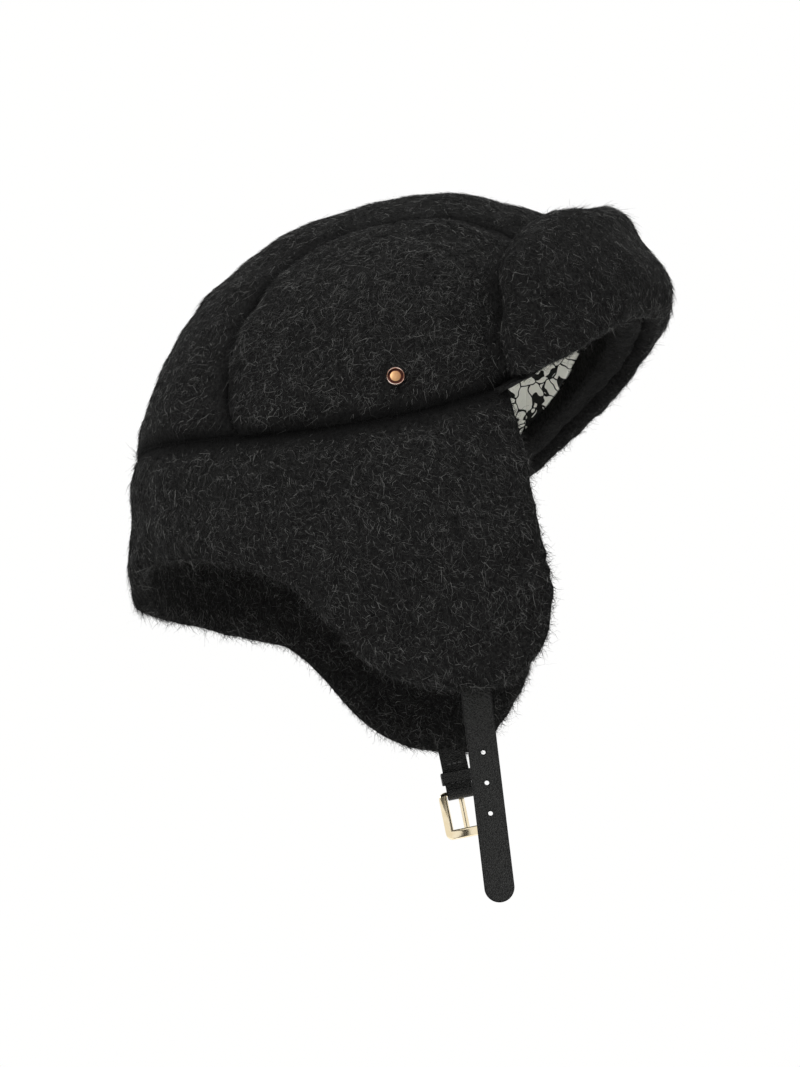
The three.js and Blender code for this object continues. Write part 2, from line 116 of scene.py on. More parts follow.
# Where the crown sinks below the ideal dome, or stands above it: (y, z), depth and reach.
CROWN_SINKS = (
    ((105, 32), 2.8, 28),
    ((116, 14), 1.2, 14),
    ((30, 90), -1.6, 22),
    ((-35, 98), 1.6, 35),
    ((-85, 88), 5.6, 28),
)
SIDE_PANEL_TRIM = 0.012  # share of the side panel's length left off at each pointed end

SHELL_INNER = 8.4  # depth of a crown panel's inner face below the outer surface
LINING_DEPTHS = (9.4, 11.4)
LINING_LAP, LINING_LAP_DEPTH = 1.2, 0.4  # the side linings lap over the centre lining's edges
BAND_THICK = 11.4
SEAM_GAP = 0.4
SEAM_VALLEY, SEAM_WIDTH = 6.0, 4.6  # how deep a seam pulls the padding in, and over what width
SHALLOW_AT_BACK, BACK_FROM = 0.5, 92.0  # at the back, from this y on, seams lose this share of their depth
DEEPEST = 7.4  # the cloth is never pulled in further than this, so that a seam keeps some thickness
SEAM_SHARPNESS = 1.3  # 1 is a pointed valley, 2 a round one
SEAM_OVERLAP = 1.2  # neighbouring panels overlap this much inside the seam
SEAM_SHADE = 7.0  # painted shade: the cloth is painted blackest in the seam and reaches its own colour this far from it
COAT, COAT_FULL = 1.6, 8.0  # away from a seam the cloth lies this far down, and its pile fills the rest
PUFF, PUFF_FROM, PUFF_FULL = 0.4, 2.0, 22.0  # the padding's fullness grows between these distances
SEAM_HELD = 3.0  # padding this close to a seam stays where it is sewn
BACK_SEAM_DEPTH, BACK_SEAM_WIDTH = 2.0, 3.5  # the seam down the middle of the neck band
TUCK = 2.5  # the lower cloth's top edge reaches this far up behind the crown's lower edge
ROLL = 9.0  # radius over which a free edge is rolled from the outer face to the facing
FAR = 100.0  # a distance at which no seam is near
# Unevenness of the padding and of the lining: wavelength and height.
LUMPS, LINING_LUMPS = ((34, 1.5), (13, 0.8)), ((28, 0.7), (11, 0.35))
SEWN_REACH = 10.0  # the unevenness fades out this close to a seam


# ---- Surfaces of the hat, on numpy arrays ----
def power(value, exponent):
    return np.sign(value) * np.abs(value) ** exponent


def rounded(value):
    return power(value, 2 / ROUNDNESS)


def mix(a, b, share):
    return a + (b - a) * share


def ramp(value, low, high):
    t = np.clip((value - low) / (high - low), 0, 1)
    return t * t * (3 - 2 * t)


def seam_height(angle):
    towards_front = np.maximum(np.cos(angle), 0) ** 2
    towards_back = np.minimum(np.cos(angle), 0) ** 2
    return (SIDE_DROP + BROW_RISE) * towards_front + SIDE_DROP * towards_back - SIDE_DROP


def leaned(x, y, z, height):
    return np.stack([x, y - LEAN * np.maximum(z, 0) / height, z], -1)


def on_arch(x, turn, depth):
    share = np.maximum(1 - np.abs(x / (HALF_WIDTH - depth)) ** ROUNDNESS, 0) ** (1 / ROUNDNESS)
    y = (HALF_LENGTH - depth) * share * rounded(np.cos(turn))
    z = (HEIGHT - depth) * share * rounded(np.sin(turn))
    return leaned(x, y, z, HEIGHT - depth)


def onto_dome(direction, depth):
    size = np.stack([HALF_WIDTH - depth, HALF_LENGTH - depth, HEIGHT - depth], -1)
    reach = direction.copy()
    reach[..., 2] = np.maximum(reach[..., 2], 0)
    total = (np.abs(reach / size) ** ROUNDNESS).sum(-1) ** (1 / ROUNDNESS)
    point = direction / total[..., None]
    return leaned(point[..., 0], point[..., 1], point[..., 2], HEIGHT - depth)


def on_wall(angle, z, depth):
    angle, z, depth = np.broadcast_arrays(np.asarray(angle, float), z, depth)
    below = np.maximum(seam_height(angle) - z, 0)
    narrowing = (1 - (np.maximum(z, 0) / (HEIGHT - depth)) ** ROUNDNESS) ** (1 / ROUNDNESS)
    dome = leaned(
        -(HALF_WIDTH - depth) * narrowing * rounded(np.sin(angle)),
        -(HALF_LENGTH - depth) * narrowing * rounded(np.cos(angle)),
        z,
        HEIGHT - depth,
    )
    bulge = BAND_BULGE * np.sin(np.pi * np.minimum(below / BAND_BULGE_DEPTH, 1)) - BAND_SET_IN
    flare = np.where(np.cos(angle) < 0, BAND_FLARE * below, 0)
    band = np.stack(
        [
            -(HALF_WIDTH + bulge - depth) * rounded(np.sin(angle)),
            -(HALF_LENGTH + flare - BAND_SET_IN - depth) * rounded(np.cos(angle)),
            z,
        ],
        -1,
    )
    return np.where((below > 0)[..., None], band, dome)


def angle_at(y):
    return np.arccos(-power(y / HALF_LENGTH, ROUNDNESS / 2))


def hem_height(angle, raised):
    from_front = np.arccos(np.cos(angle)) / BROW_FADE
    rise = np.where(from_front < 1, BROW_RISE_FACING * np.cos(from_front * np.pi / 2) ** 2, 0)
    return seam_height(angle) + SEAM_GAP + (rise if raised else 0)


def hem_turn(x, depth, raised, front):
    side = np.arcsin(np.minimum(np.abs(x / (HALF_WIDTH - depth)), 1) ** (ROUNDNESS / 2))
    height = hem_height(side if front else np.pi - side, raised)
    share = (1 - np.abs(x / (HALF_WIDTH - depth)) ** ROUNDNESS) ** (1 / ROUNDNESS)
    turn = np.arcsin(power(height / ((HEIGHT - depth) * share), ROUNDNESS / 2))
    return np.pi - turn if front else turn


def panel_half_width(turn, depth):
    width = mix(PANEL_HALF, PANEL_END_HALF, np.cos(turn) ** 2)
    return width * (HALF_WIDTH - depth) / HALF_WIDTH


def bezier(a, b, c, d, count=24):
    t = np.linspace(0, 1, count)[:, None]
    a, b, c, d = (np.array(p, float) for p in (a, b, c, d))
    return a * (1 - t) ** 3 + 3 * b * t * (1 - t) ** 2 + 3 * c * t * t * (1 - t) + d * t**3


# ---- Meshes ----
def grid(count_u, count_v, edge_u=0.0, edge_v=0.0):
    """Two arrays of shares from 0 to 1. edge_u and edge_v crowd the lines towards the borders."""
    u = np.linspace(0, 1, count_u + 1)
    v = np.linspace(0, 1, count_v + 1)
    u = mix(u, (1 - np.cos(np.pi * u)) / 2, edge_u)
    v = mix(v, (1 - np.cos(np.pi * v)) / 2, edge_v)
    return np.meshgrid(u, v, indexing="ij")


def grid_faces(rows, columns, first, flipped):
    n = first + np.arange(rows * columns).reshape(rows, columns)
    quads = np.stack([n[:-1, :-1], n[1:, :-1], n[1:, 1:], n[:-1, 1:]], -1).reshape(-1, 4)
    return quads[:, ::-1] if flipped else quads


def rim_faces(rows, columns):
    n = np.arange(rows * columns).reshape(rows, columns)
    loop = np.concatenate([n[:-1, 0], n[-1, :-1], n[:0:-1, -1], n[0, :0:-1]])
    after = np.roll(loop, -1)
    below = rows * columns
    return np.stack([after, loop, loop + below, after + below], -1)


def add_object(name, data):
    made = bpy.data.objects.new(name, data)
    bpy.context.scene.collection.objects.link(made)
    return made


def mesh_piece(name, points, faces, surface):
    mesh = bpy.data.meshes.new(name)
    mesh.from_pydata((np.asarray(points) * MM).tolist(), [], [list(f) for f in faces])
    mesh.materials.append(surface)
    return add_object(name, mesh)


def smooth_faces(mesh):
    mesh.polygons.foreach_set("use_smooth", np.ones(len(mesh.polygons), bool))


def weld(piece, reach=0.02):
    """Joins the corners that meet, and turns every face outwards."""
    body = bmesh.new()
    body.from_mesh(piece.data)
    bmesh.ops.remove_doubles(body, verts=body.verts, dist=reach * MM)
    bmesh.ops.dissolve_degenerate(body, edges=body.edges, dist=reach * MM / 2)
    bmesh.ops.recalc_face_normals(body, faces=body.faces)
    body.to_mesh(piece.data)
    body.free()
    return piece


def slab(name, outer, inner, surface, seam=None):
    """A closed padded piece between two grids of points with the same layout.

    seam is the distance of each outer point from the nearest sewn edge, in millimetres.
    """
    rows, columns = outer.shape[:2]
    points = np.concatenate([outer.reshape(-1, 3), inner.reshape(-1, 3)])
    faces = np.concatenate(
        [
            grid_faces(rows, columns, 0, False),
            grid_faces(rows, columns, rows * columns, True),
            rim_faces(rows, columns),
        ]
    )
    piece = mesh_piece(name, points, faces, surface)
    far, side = np.full(rows * columns, FAR), np.ones(rows * columns)
    give_values(piece, "inner_face", np.concatenate([0 * side, side]))
    give_values(piece, "seam", np.concatenate([far if seam is None else seam.ravel(), far]))
    return weld(piece)


def give_values(piece, layer, values):
    made = piece.data.attributes.new(layer, "FLOAT", "POINT")
    made.data.foreach_set("value", values.astype(np.float32))


def vectors(mesh, what="co"):
    flat = np.empty(len(mesh.vertices) * 3, np.float32)
    mesh.vertices.foreach_get(what, flat)
    return flat.reshape(-1, 3).astype(float)


def coordinates(piece):
    return vectors(piece.data)


def set_coordinates(piece, points):
    piece.data.vertices.foreach_set("co", points.astype(np.float32).ravel())
    piece.data.update()


def point_values(piece, layer):
    values = np.empty(len(piece.data.vertices), np.float32)
    piece.data.attributes[layer].data.foreach_get("value", values)
    return values.astype(float)


# Settings of the cloth while it settles, by Blender's own names.
CLOTH = {
    "quality": 4,
    "mass": 0.15,
    "tension_stiffness": 12,
    "compression_stiffness": 6,
    "shear_stiffness": 4,
    "bending_stiffness": 0.4,
    "shrink_min": -0.03,
    "use_pressure": True,
    "uniform_pressure_force": 4,
}


def inflate(piece, most=1.2, frames=20):
    """Lets the cloth settle under the wadding's pressure. No point moves further than most millimetres."""
    before = coordinates(piece)
    held = piece.vertex_groups.new(name="sewn")
    inner, seam = point_values(piece, "inner_face"), point_values(piece, "seam")
    held.add(np.flatnonzero((inner > 0.5) | (seam < SEAM_HELD)).tolist(), 1.0, "REPLACE")
    cloth = piece.modifiers.new("cloth", "CLOTH")
    for setting, value in CLOTH.items():
        setattr(cloth.settings, setting, value)
    cloth.settings.effector_weights.gravity = 0
    cloth.settings.vertex_group_mass = held.name
    cloth.point_cache.frame_start = 1
    cloth.point_cache.frame_end = frames
    for number in range(1, frames + 1):
        bpy.context.scene.frame_set(number)
    settled = vectors(piece.evaluated_get(bpy.context.evaluated_depsgraph_get()).data)
    piece.modifiers.clear()
    piece.vertex_groups.clear()
    bpy.context.scene.frame_set(1)
    move = np.nan_to_num(settled - before)
    length = np.linalg.norm(move, axis=1, keepdims=True)
    move *= np.minimum(1, most * MM / np.maximum(length, 1e-9))
    set_coordinates(piece, before + move)
    return piece


def subdivide(piece, levels=1):
    modifier = piece.modifiers.new("subdivide", "SUBSURF")
    modifier.levels = levels
    depsgraph = bpy.context.evaluated_depsgraph_get()
    mesh = bpy.data.meshes.new_from_object(piece.evaluated_get(depsgraph))
    piece.modifiers.clear()
    piece.data = mesh
    smooth_faces(mesh)
    return piece


def lumpy(piece, heights, seed):
    """Moves the surface in and out by soft noise: heights lists (wavelength, height) in millimetres."""
    points, outwards = coordinates(piece), vectors(piece.data, "normal")
    sewn = ramp(point_values(piece, "seam"), 0, SEWN_REACH)
    shift = np.zeros(len(points))
    for wavelength, height in heights:
        offset = Vector((seed, wavelength, 0))
        shift += [height * noise.noise(Vector(p) / (wavelength * MM) + offset) for p in points]
    set_coordinates(piece, points + outwards * (shift * sewn * MM)[:, None])
    return piece


# ---- Node materials ----
def new_material(name, roughness, metallic=0.0):
    made = bpy.data.materials.new(name)
    made.use_nodes = True
    shader = made.node_tree.nodes["Principled BSDF"]
    shader.inputs["Roughness"].default_value = roughness
    shader.inputs["Metallic"].default_value = metallic
    return made, made.node_tree, shader


def add_node(tree, kind, inputs=None, **settings):
    """A shader node. An input takes a value, or a link when it is given another node's socket."""
    made = tree.nodes.new("ShaderNode" + kind)
    for name, value in settings.items():
        setattr(made, name, value)
    for name, value in (inputs or {}).items():
        if isinstance(value, bpy.types.NodeSocket):
            tree.links.new(value, made.inputs[name])
        else:
            made.inputs[name].default_value = value
    return made


def object_place(tree):
    return add_node(tree, "TexCoord").outputs["Object"]


def noise_node(tree, scale, detail=3.0, stretch=(1, 1, 1)):
    place = add_node(tree, "Mapping", {"Vector": object_place(tree), "Scale": stretch}).outputs["Vector"]
    return add_node(tree, "TexNoise", {"Vector": place, "Scale": scale, "Detail": detail})


def math_node(tree, operation, first, second):
    return add_node(tree, "Math", {0: first, 1: second}, operation=operation).outputs[0]


def colour_between(tree, factor, dark, light, low=0.35, high=0.65):
    stops = add_node(tree, "ValToRGB", {"Fac": factor})
    for stop, place, colour in zip(stops.color_ramp.elements, (low, high), (dark, light)):
        stop.position = place
        stop.color = (*colour, 1)
    return stops.outputs["Color"]


def bump(tree, shader, height, strength, distance):
    node = add_node(tree, "Bump", {"Height": height, "Strength": strength, "Distance": distance * MM})
    tree.links.new(node.outputs["Normal"], shader.inputs["Normal"])


def grained_material(name, roughness, scale, dark, light, metallic=0.0):
    """A material whose colour changes in soft grains between two colours."""
    made, tree, shader = new_material(name, roughness, metallic)
    grain = noise_node(tree, scale).outputs["Fac"]
    tree.links.new(colour_between(tree, grain, dark, light), shader.inputs["Base Color"])
    return made, tree, shader, grain


def mohair_material():
    """Black wool, with painted shade that makes it blackest in the seams."""
    made, tree, shader = new_material("mohair", 0.95)
    patches = noise_node(tree, 700.0, 5.0).outputs["Fac"]
    colour = colour_between(tree, patches, (0.0015, 0.0015, 0.0015), (0.009, 0.009, 0.0087))
    seam = add_node(tree, "Attribute", attribute_name="seam").outputs["Fac"]
    out_of_painted_shade = math_node(tree, "MINIMUM", math_node(tree, "DIVIDE", seam, SEAM_SHADE), 1.0)
    # Painted shade: near a seam the colour is mixed towards near-black.
    layers = {"Factor": out_of_painted_shade, "A": (0.0008, 0.0008, 0.0008, 1), "B": colour}
    shaded = add_node(tree, "Mix", layers, data_type="RGBA").outputs["Result"]
    tree.links.new(shaded, shader.inputs["Base Color"])
    shader.inputs["Specular IOR Level"].default_value = 0.1
    wool = noise_node(tree, 900.0, 4.0, (1, 1, 0.35))
    bump(tree, shader, wool.outputs["Fac"], 0.8, 1.2)
    return made


def fibre_material(name, grey, roughness):
    made, tree, shader = new_material(name, roughness)
    shader.inputs["Base Color"].default_value = (grey, grey, grey * 0.97, 1)
    shader.inputs["Specular IOR Level"].default_value = 0.1
    return made


def wadding_material():
    light, dark = (0.78, 0.77, 0.73), (0.62, 0.61, 0.57)
    made, tree, shader, fluff = grained_material("wadding", 1.0, 400.0, dark, light)
    bump(tree, shader, fluff, 0.5, 1.0)
    return made


PRINT_WARP = 12.0  # waviness of the printed lines, in millimetres
PRINT_LINE, PRINT_BLOT = 0.035, 0.57  # thresholds below and above which there is ink


def satin_material():
    """Warm light grey satin with a generic abstract print of black lines and blots."""
    made, tree, shader = new_material("satin_print", 0.4)
    warp = noise_node(tree, 70.0, 2.0).outputs["Color"]
    shift = add_node(tree, "VectorMath", {0: warp, "Scale": PRINT_WARP * MM}, operation="SCALE")
    warped = add_node(tree, "VectorMath", {0: object_place(tree), 1: shift.outputs[0]}, operation="ADD")
    cells = {"Vector": warped.outputs[0], "Scale": 110.0}
    lines = add_node(tree, "TexVoronoi", cells, feature="DISTANCE_TO_EDGE")
    blots = noise_node(tree, 150.0, 1.0)
    drawn = math_node(tree, "LESS_THAN", lines.outputs["Distance"], PRINT_LINE)
    blotted = math_node(tree, "GREATER_THAN", blots.outputs["Fac"], PRINT_BLOT)
    ink = math_node(tree, "MAXIMUM", drawn, blotted)
    colour = colour_between(tree, ink, (0.8, 0.8, 0.74), (0.004, 0.004, 0.004), 0.0, 1.0)
    tree.links.new(colour, shader.inputs["Base Color"])
    shader.inputs["Specular IOR Level"].default_value = 0.22
    return made


def leather_material():
    made, tree, shader = new_material("pebbled_leather", 0.28)
    pebbles = add_node(tree, "TexVoronoi", {"Vector": object_place(tree), "Scale": 1350.0})
    from_middle = pebbles.outputs["Distance"]
    # Painted highlight and shade: the middles of the pebbles are lighter and the grooves between them
    # darker.
    colour = colour_between(tree, from_middle, (0.02, 0.0205, 0.019), (0.004, 0.004, 0.004), 0.1, 0.8)
    tree.links.new(colour, shader.inputs["Base Color"])
    bump(tree, shader, from_middle, 1.0, -1.1)
    shader.inputs["Specular IOR Level"].default_value = 0.2
    return made


def edge_paint_material():
    black, near_black = (0.002, 0.002, 0.002), (0.004, 0.004, 0.004)
    made, _, shader, _ = grained_material("edge_paint", 0.5, 500.0, black, near_black)
    shader.inputs["Specular IOR Level"].default_value = 0.03
    return made


def thread_material():
    return grained_material("black_thread", 0.6, 3000.0, (0.006, 0.006, 0.006), (0.02, 0.02, 0.02))[0]


def metal_material(name, dark, light, roughness):
    return grained_material(name, roughness, 220.0, dark, light, metallic=1.0)[0]


mohair = mohair_material()
# The first fibre is the black one; it is also put in the creases as painted shade.
FIBRES = [
    fibre_material("fibre_black", 0.002, 0.6),
    fibre_material("fibre_dark", 0.01, 0.55),
    fibre_material("fibre_grey", 0.035, 0.5),
    fibre_material("fibre_pale", 0.1, 0.5),
]
FIBRE_SHARES = (0.42, 0.24, 0.24, 0.1)
wadding = wadding_material()
satin = satin_material()
leather = leather_material()
edge_paint = edge_paint_material()
thread = thread_material()
pale_gold = metal_material("pale_gold", (0.83, 0.7, 0.47), (0.9, 0.79, 0.58), 0.09)
rose_gold = metal_material("rose_gold", (0.5, 0.28, 0.22), (0.92, 0.74, 0.66), 0.2)
# Painted shade: the groove round a stud's cap takes this darker metal.
stud_groove_painted_shade = metal_material("stud_groove_painted_shade", (0.04, 0.012, 0.01), (0.07, 0.025, 0.018), 0.4)
stud_button = metal_material("stud_button", (0.26, 0.12, 0.06), (0.42, 0.26, 0.13), 0.4)


# ---- Padded panels ----
def valley(edge):
    """How deep the padding is pulled in at a distance from its seam, in millimetres."""
    return SEAM_VALLEY * np.exp(-((np.maximum(edge, 0) / SEAM_WIDTH) ** SEAM_SHARPNESS))


def valley_share(y):
    """How strongly a seam is pulled in: fully on the sides, and less at the back of the hat."""
    return 1 - SHALLOW_AT_BACK * ramp(y, BACK_FROM, HALF_LENGTH)


def seam_pull(edge, y):
    """Depth of a sewn panel's outer face at a distance from its seam, in millimetres."""
    coat = COAT * ramp(edge, 0, COAT_FULL)
    return coat + valley(edge) * valley_share(y) - PUFF * ramp(edge, PUFF_FROM, PUFF_FULL)


def finish_panel(piece, seed, replaced):
    inflate(piece)
    subdivide(piece)
    lumpy(piece, LUMPS, seed)
    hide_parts(*replaced)
    return piece


def centre_panel_grid(u, v, depth, raised, lap):
    """The wide strip over the crown, as wide as its two seams allow and lap more on each side."""
    half = panel_half_width(u * np.pi, depth) + lap
    x = mix(-half, half, v)
    back, front = hem_turn(x, depth, raised, False), hem_turn(x, depth, raised, True)
    return on_arch(x, mix(back, front, u), depth)


def grid_length(points, axis):
    """Length in millimetres along each grid line, from its start to each point."""
    step = np.linalg.norm(np.diff(points, axis=axis), axis=-1)
    total = np.cumsum(step, axis=axis)
    return np.concatenate([np.zeros_like(np.take(total, [0], axis)), total], axis)


def edge_distance(points):
    """The shortest way from each point of a grid to one of its four borders."""
    best = np.full(points.shape[:2], np.inf)
    for axis in (0, 1):
        length = grid_length(points, axis)
        whole = np.take(length, [-1], axis)
        best = np.minimum(best, np.minimum(length, whole - length))
    return best


def crown_sink(points):
    total = np.zeros(points.shape[:-1])
    for (y, z), depth, reach in CROWN_SINKS:
        total += depth * np.exp(-((points[..., 1] - y) ** 2 + (points[..., 2] - z) ** 2) / reach**2)
    return total


def cloth_depth(flat, seam):
    """Depth of a crown panel's outer face below the ideal dome."""
    return np.minimum(seam_pull(seam, flat[..., 1]) + crown_sink(flat), DEEPEST)


def crown_centre():
    u, v = grid(84, 40, 0.35, 0.5)
    flat = centre_panel_grid(u, v, 0.0, False, SEAM_OVERLAP)
    seam = edge_distance(flat)
    outer = centre_panel_grid(u, v, cloth_depth(flat, seam), False, SEAM_OVERLAP)
    inner = centre_panel_grid(u, v, SHELL_INNER, False, -SEAM_GAP)
    piece = slab("crown_centre_cloth", outer, inner, mohair, seam)
    return finish_panel(piece, 1, ["crown_centre_panel", "crown_centre_wadding"])


def side_panel_grid(u, v, depth, raised, gap=SEAM_GAP):
    depth = np.broadcast_to(np.asarray(depth, float), u.shape)
    along = mix(SIDE_PANEL_TRIM, 1 - SIDE_PANEL_TRIM, u)
    x = panel_half_width(along * np.pi, depth) + gap
    corner_x = panel_half_width(0, depth) + SEAM_GAP
    corner = np.arcsin((corner_x / (HALF_WIDTH - depth)) ** (ROUNDNESS / 2))
    angle = mix(np.pi - corner, corner, along)
    bottom = on_wall(angle, hem_height(angle, raised), depth)
    back, front = hem_turn(x, depth, raised, False), hem_turn(x, depth, raised, True)
    top = on_arch(-x, mix(back, front, along), depth)
    direction = mix(bottom, top, v[..., None])
    direction[..., 1] += LEAN * np.maximum(direction[..., 2], 0) / (HEIGHT - depth)
    return onto_dome(direction, depth)


def mirrored(points, side):
    return points * np.array([-side, 1, 1])


def crown_side(side, name):
    u, v = grid(72, 34, 0.35, 0.5)
    flat = side_panel_grid(u, v, 0.0, False)
    seam = edge_distance(flat)
    outer = side_panel_grid(u, v, cloth_depth(flat, seam), False)
    inner = side_panel_grid(u, v, SHELL_INNER, False)
    piece = slab(f"crown_side_cloth_{name}", mirrored(outer, side), mirrored(inner, side), mohair, seam)
    return finish_panel(piece, 3 + side, [f"crown_side_panel_{name}", f"crown_side_wadding_{name}"])


def ear_edge(side):
    """Outline of the ear flap in the (y, z) plane, from its front edge round the bottom to the notch."""
    start = (EAR_FRONT_Y - EAR_FRONT_ROLL, EAR_EDGE_Z)
    low, rear, high, top = EAR_REAR_HANDLES
    bottom = (EAR_LOWEST_Y, EAR_BOTTOM_Z)
    handle = EAR_FRONT_HANDLE[side]
    front_curve = bezier(start, (start[0], handle[1]), (handle[0], EAR_BOTTOM_Z), bottom)
    rear_curve = bezier(bottom, low, rear, EAR_REAR_CORNER)
    notch_curve = bezier(EAR_REAR_CORNER, high, top, (NOTCH_Y, NOTCH_Z))
    return np.concatenate([front_curve, rear_curve[1:], notch_curve[1:]])


def neck_edge(angle, side):
    sweep = np.clip((np.pi - angle) / (np.pi - angle_at(NOTCH_Y)), 0, 1)
    lift = NECK_LIFT[side] * np.sin(np.pi * sweep**NECK_LIFT_SKEW)
    return mix(NECK_BACK_Z, NOTCH_Z, sweep**NECK_CURL) + lift


def lower_edge(angle, side):
    edge = ear_edge(side)
    ear = np.interp(angle, angle_at(edge[:, 0]), edge[:, 1])
    return np.where(angle < angle_at(NOTCH_Y), ear, neck_edge(angle, side))


def around(angle):
    """Length in millimetres round the wall, at mid height, from the front of the hat to each angle."""
    samples = np.linspace(0, np.pi, 721)
    middle_height = -45.0
    points = on_wall(samples, middle_height, 0.0)
    return np.interp(angle, samples, grid_length(points, 0))


def polyline_distance(points, line):
    best = np.full(points.shape[:-1], np.inf)
    for a, b in zip(line[:-1], line[1:]):
        along = b - a
        share = np.clip(((points - a) @ along) / max(along @ along, 1e-9), 0, 1)
        best = np.minimum(best, np.linalg.norm(points - (a + share[..., None] * along), axis=-1))
    return best


def roll(edge, radius=ROLL):
    return np.sqrt(np.maximum(1 - (1 - np.clip(edge / radius, 0, 1)) ** 2, 0))


def lower_half(side, name):
    """One half of the neck band with its ear flap, in one cloth from the crown seam to the lower edge."""
    start = angle_at(EAR_FRONT_Y - EAR_FRONT_ROLL)
    u, v = grid(120, 56, 0.0, 0.55)
    crowded = mix(u, ramp(u, 0, 1), 0.25) ** 1.35  # more of the grid's lines lie near the front edge
    angle = mix(start, np.pi, crowded)
    top, bottom = seam_height(angle) + TUCK, lower_edge(angle, side)
    z = mix(bottom, top, v)
    flat = np.stack([around(angle), z], -1)
    samples = np.linspace(start, np.pi, 400)
    free = np.stack([around(samples), lower_edge(samples, side)], -1)
    front_corner = np.array([[around(start), seam_height(start)]])
    free_distance = polyline_distance(flat, np.concatenate([front_corner, free]))
    seam = top - TUCK - z
    back = around(np.pi) - flat[..., 0]
    middle = BAND_THICK / 2
    sewn = valley(seam) * valley_share(on_wall(angle, z, 0.0)[..., 1])
    back_seam = BACK_SEAM_DEPTH * np.exp(-((back / BACK_SEAM_WIDTH) ** 2))
    pull = COAT * ramp(seam, 0, COAT_FULL) + sewn + back_seam + ramp(-seam, 0, TUCK)
    puff = PUFF * ramp(np.minimum(seam, free_distance), PUFF_FROM, PUFF_FULL)
    outer = on_wall(angle, z, middle - (middle - pull + puff) * roll(free_distance))
    inner = on_wall(angle, z, middle + middle * roll(free_distance))
    up, across = (z - EAR_SWELL_Z) / EAR_SWELL_REACH[0], (flat[..., 0] - around(start)) / EAR_SWELL_REACH[1]
    swell = EAR_SWELL * np.exp(-(up**2) - across**2)
    outer[..., 1] -= swell
    inner[..., 1] -= swell
    faces = mirrored(outer, side), mirrored(inner, side)
    piece = slab(f"lower_cloth_{name}", *faces, mohair, np.maximum(seam, 0))
    nodes = ["neck_band", "neck_wadding", "neck_facing"]
    nodes += [f"ear_flap_{name}_{layer}" for layer in ("shell", "wadding", "facing")]
    return finish_panel(piece, 7 + side, nodes)


def hanging_wall(angle, z, depth):
    """The wall, carried straight down where it is below the crown seam."""
    wall = on_wall(angle, np.maximum(z, seam_height(angle)), depth)
    wall[..., 2] = z
    return wall


def flap_below(angle):
    """How far the flap hangs below the crown's edge: it is folded higher on the wearer's right."""
    hang = mix(FLAP_HANG_LEFT, FLAP_HANG_RIGHT, ramp(angle, *FLAP_HANG_TURNS))
    return hang + FLAP_CORNER_HANG * np.abs(angle / FLAP_REACH) ** FLAP_CORNER_POWER


def front_flap():
    """The turned-up front flap, rolled round all of its edges."""
    u, v = grid(96, 34, 0.6, 0.6)
    across = mix(-FLAP_SPAN, FLAP_SPAN, u)
    angle = FLAP_REACH * across
    bottom = seam_height(angle) - flap_below(angle)
    top = mix(FLAP_TOP_TEMPLE, FLAP_TOP_FRONT, np.cos(angle) ** 2)
    corner = mix(FLAP_CORNER_LOW, FLAP_CORNER, v)
    fullness = (1 - np.abs(across) ** corner) ** (2 / corner)
    z = (bottom + top) / 2 + (v - 0.5) * (top - bottom) * fullness
    middle = sum(FLAP_DEPTHS) / 2
    half = (FLAP_DEPTHS[1] - FLAP_DEPTHS[0]) / 2
    flat = hanging_wall(angle, z, middle)
    along = grid_length(flat, 0)[:, flat.shape[1] // 2]
    plan = np.stack([np.broadcast_to(along[:, None], z.shape), z], -1)
    border = np.concatenate([plan[:, 0], plan[-1, :], plan[::-1, -1], plan[0, ::-1]])
    edge = polyline_distance(plan, border)
    swell = roll(edge, FLAP_ROLL)
    sag = sum(depth * np.exp(-(((z - height) / reach) ** 2)) for height, depth, reach in FLAP_HOLLOWS)
    sag = sag * np.cos(angle) ** 2
    outer = hanging_wall(angle, z, middle - half * swell + sag)
    inner = hanging_wall(angle, z, middle + half * swell)
    piece = slab("front_flap_cloth", outer, inner, mohair)
    return finish_panel(piece, 12, ["front_flap_shell", "front_flap_wadding", "front_flap_facing"])


def brow_roll():
    """The mohair that turns under the front edge of the crown and lines the inside of the brow."""
    u, v = grid(72, 16, 0.0, 0.4)
    angle = mix(-FLAP_REACH, FLAP_REACH, u)
    seam = seam_height(angle)
    bottom = seam - flap_below(angle) * BROW_HANG
    top = hem_height(angle, True) + BROW_LAP
    z = mix(bottom, top, v)
    outward = mix(*BROW_OUTER_DEPTHS, ramp(z - seam, *BROW_STEP))
    middle, half = (outward + BROW_INNER_DEPTH) / 2, (BROW_INNER_DEPTH - outward) / 2
    swell = roll(np.minimum(z - bottom, top - z), BROW_ROLL)
    outer = hanging_wall(angle, z, middle - half * swell)
    inner = hanging_wall(angle, z, middle + half * swell)
    piece = slab("brow_cloth", outer, inner, mohair)
    return finish_panel(piece, 15, ["brow_facing"])


# ---- Lining ----
def finish_lining(piece, node):
    subdivide(piece)
    lumpy(piece, LINING_LUMPS, seed=5)
    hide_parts(node)
    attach(piece, "root")
    return piece


def sheet_size(points):
    """(width, length, area) in metres of a grid that is laid out flat."""
    length = grid_length(points, 0)[-1].max()
    width = grid_length(points, 1)[:, -1].max()
    side_a = np.diff(points, axis=0)[:, :-1]
    side_b = np.diff(points, axis=1)[:-1]
    area = np.linalg.norm(np.cross(side_a, side_b), axis=-1).sum()
    return width * MM, length * MM, area * MM * MM


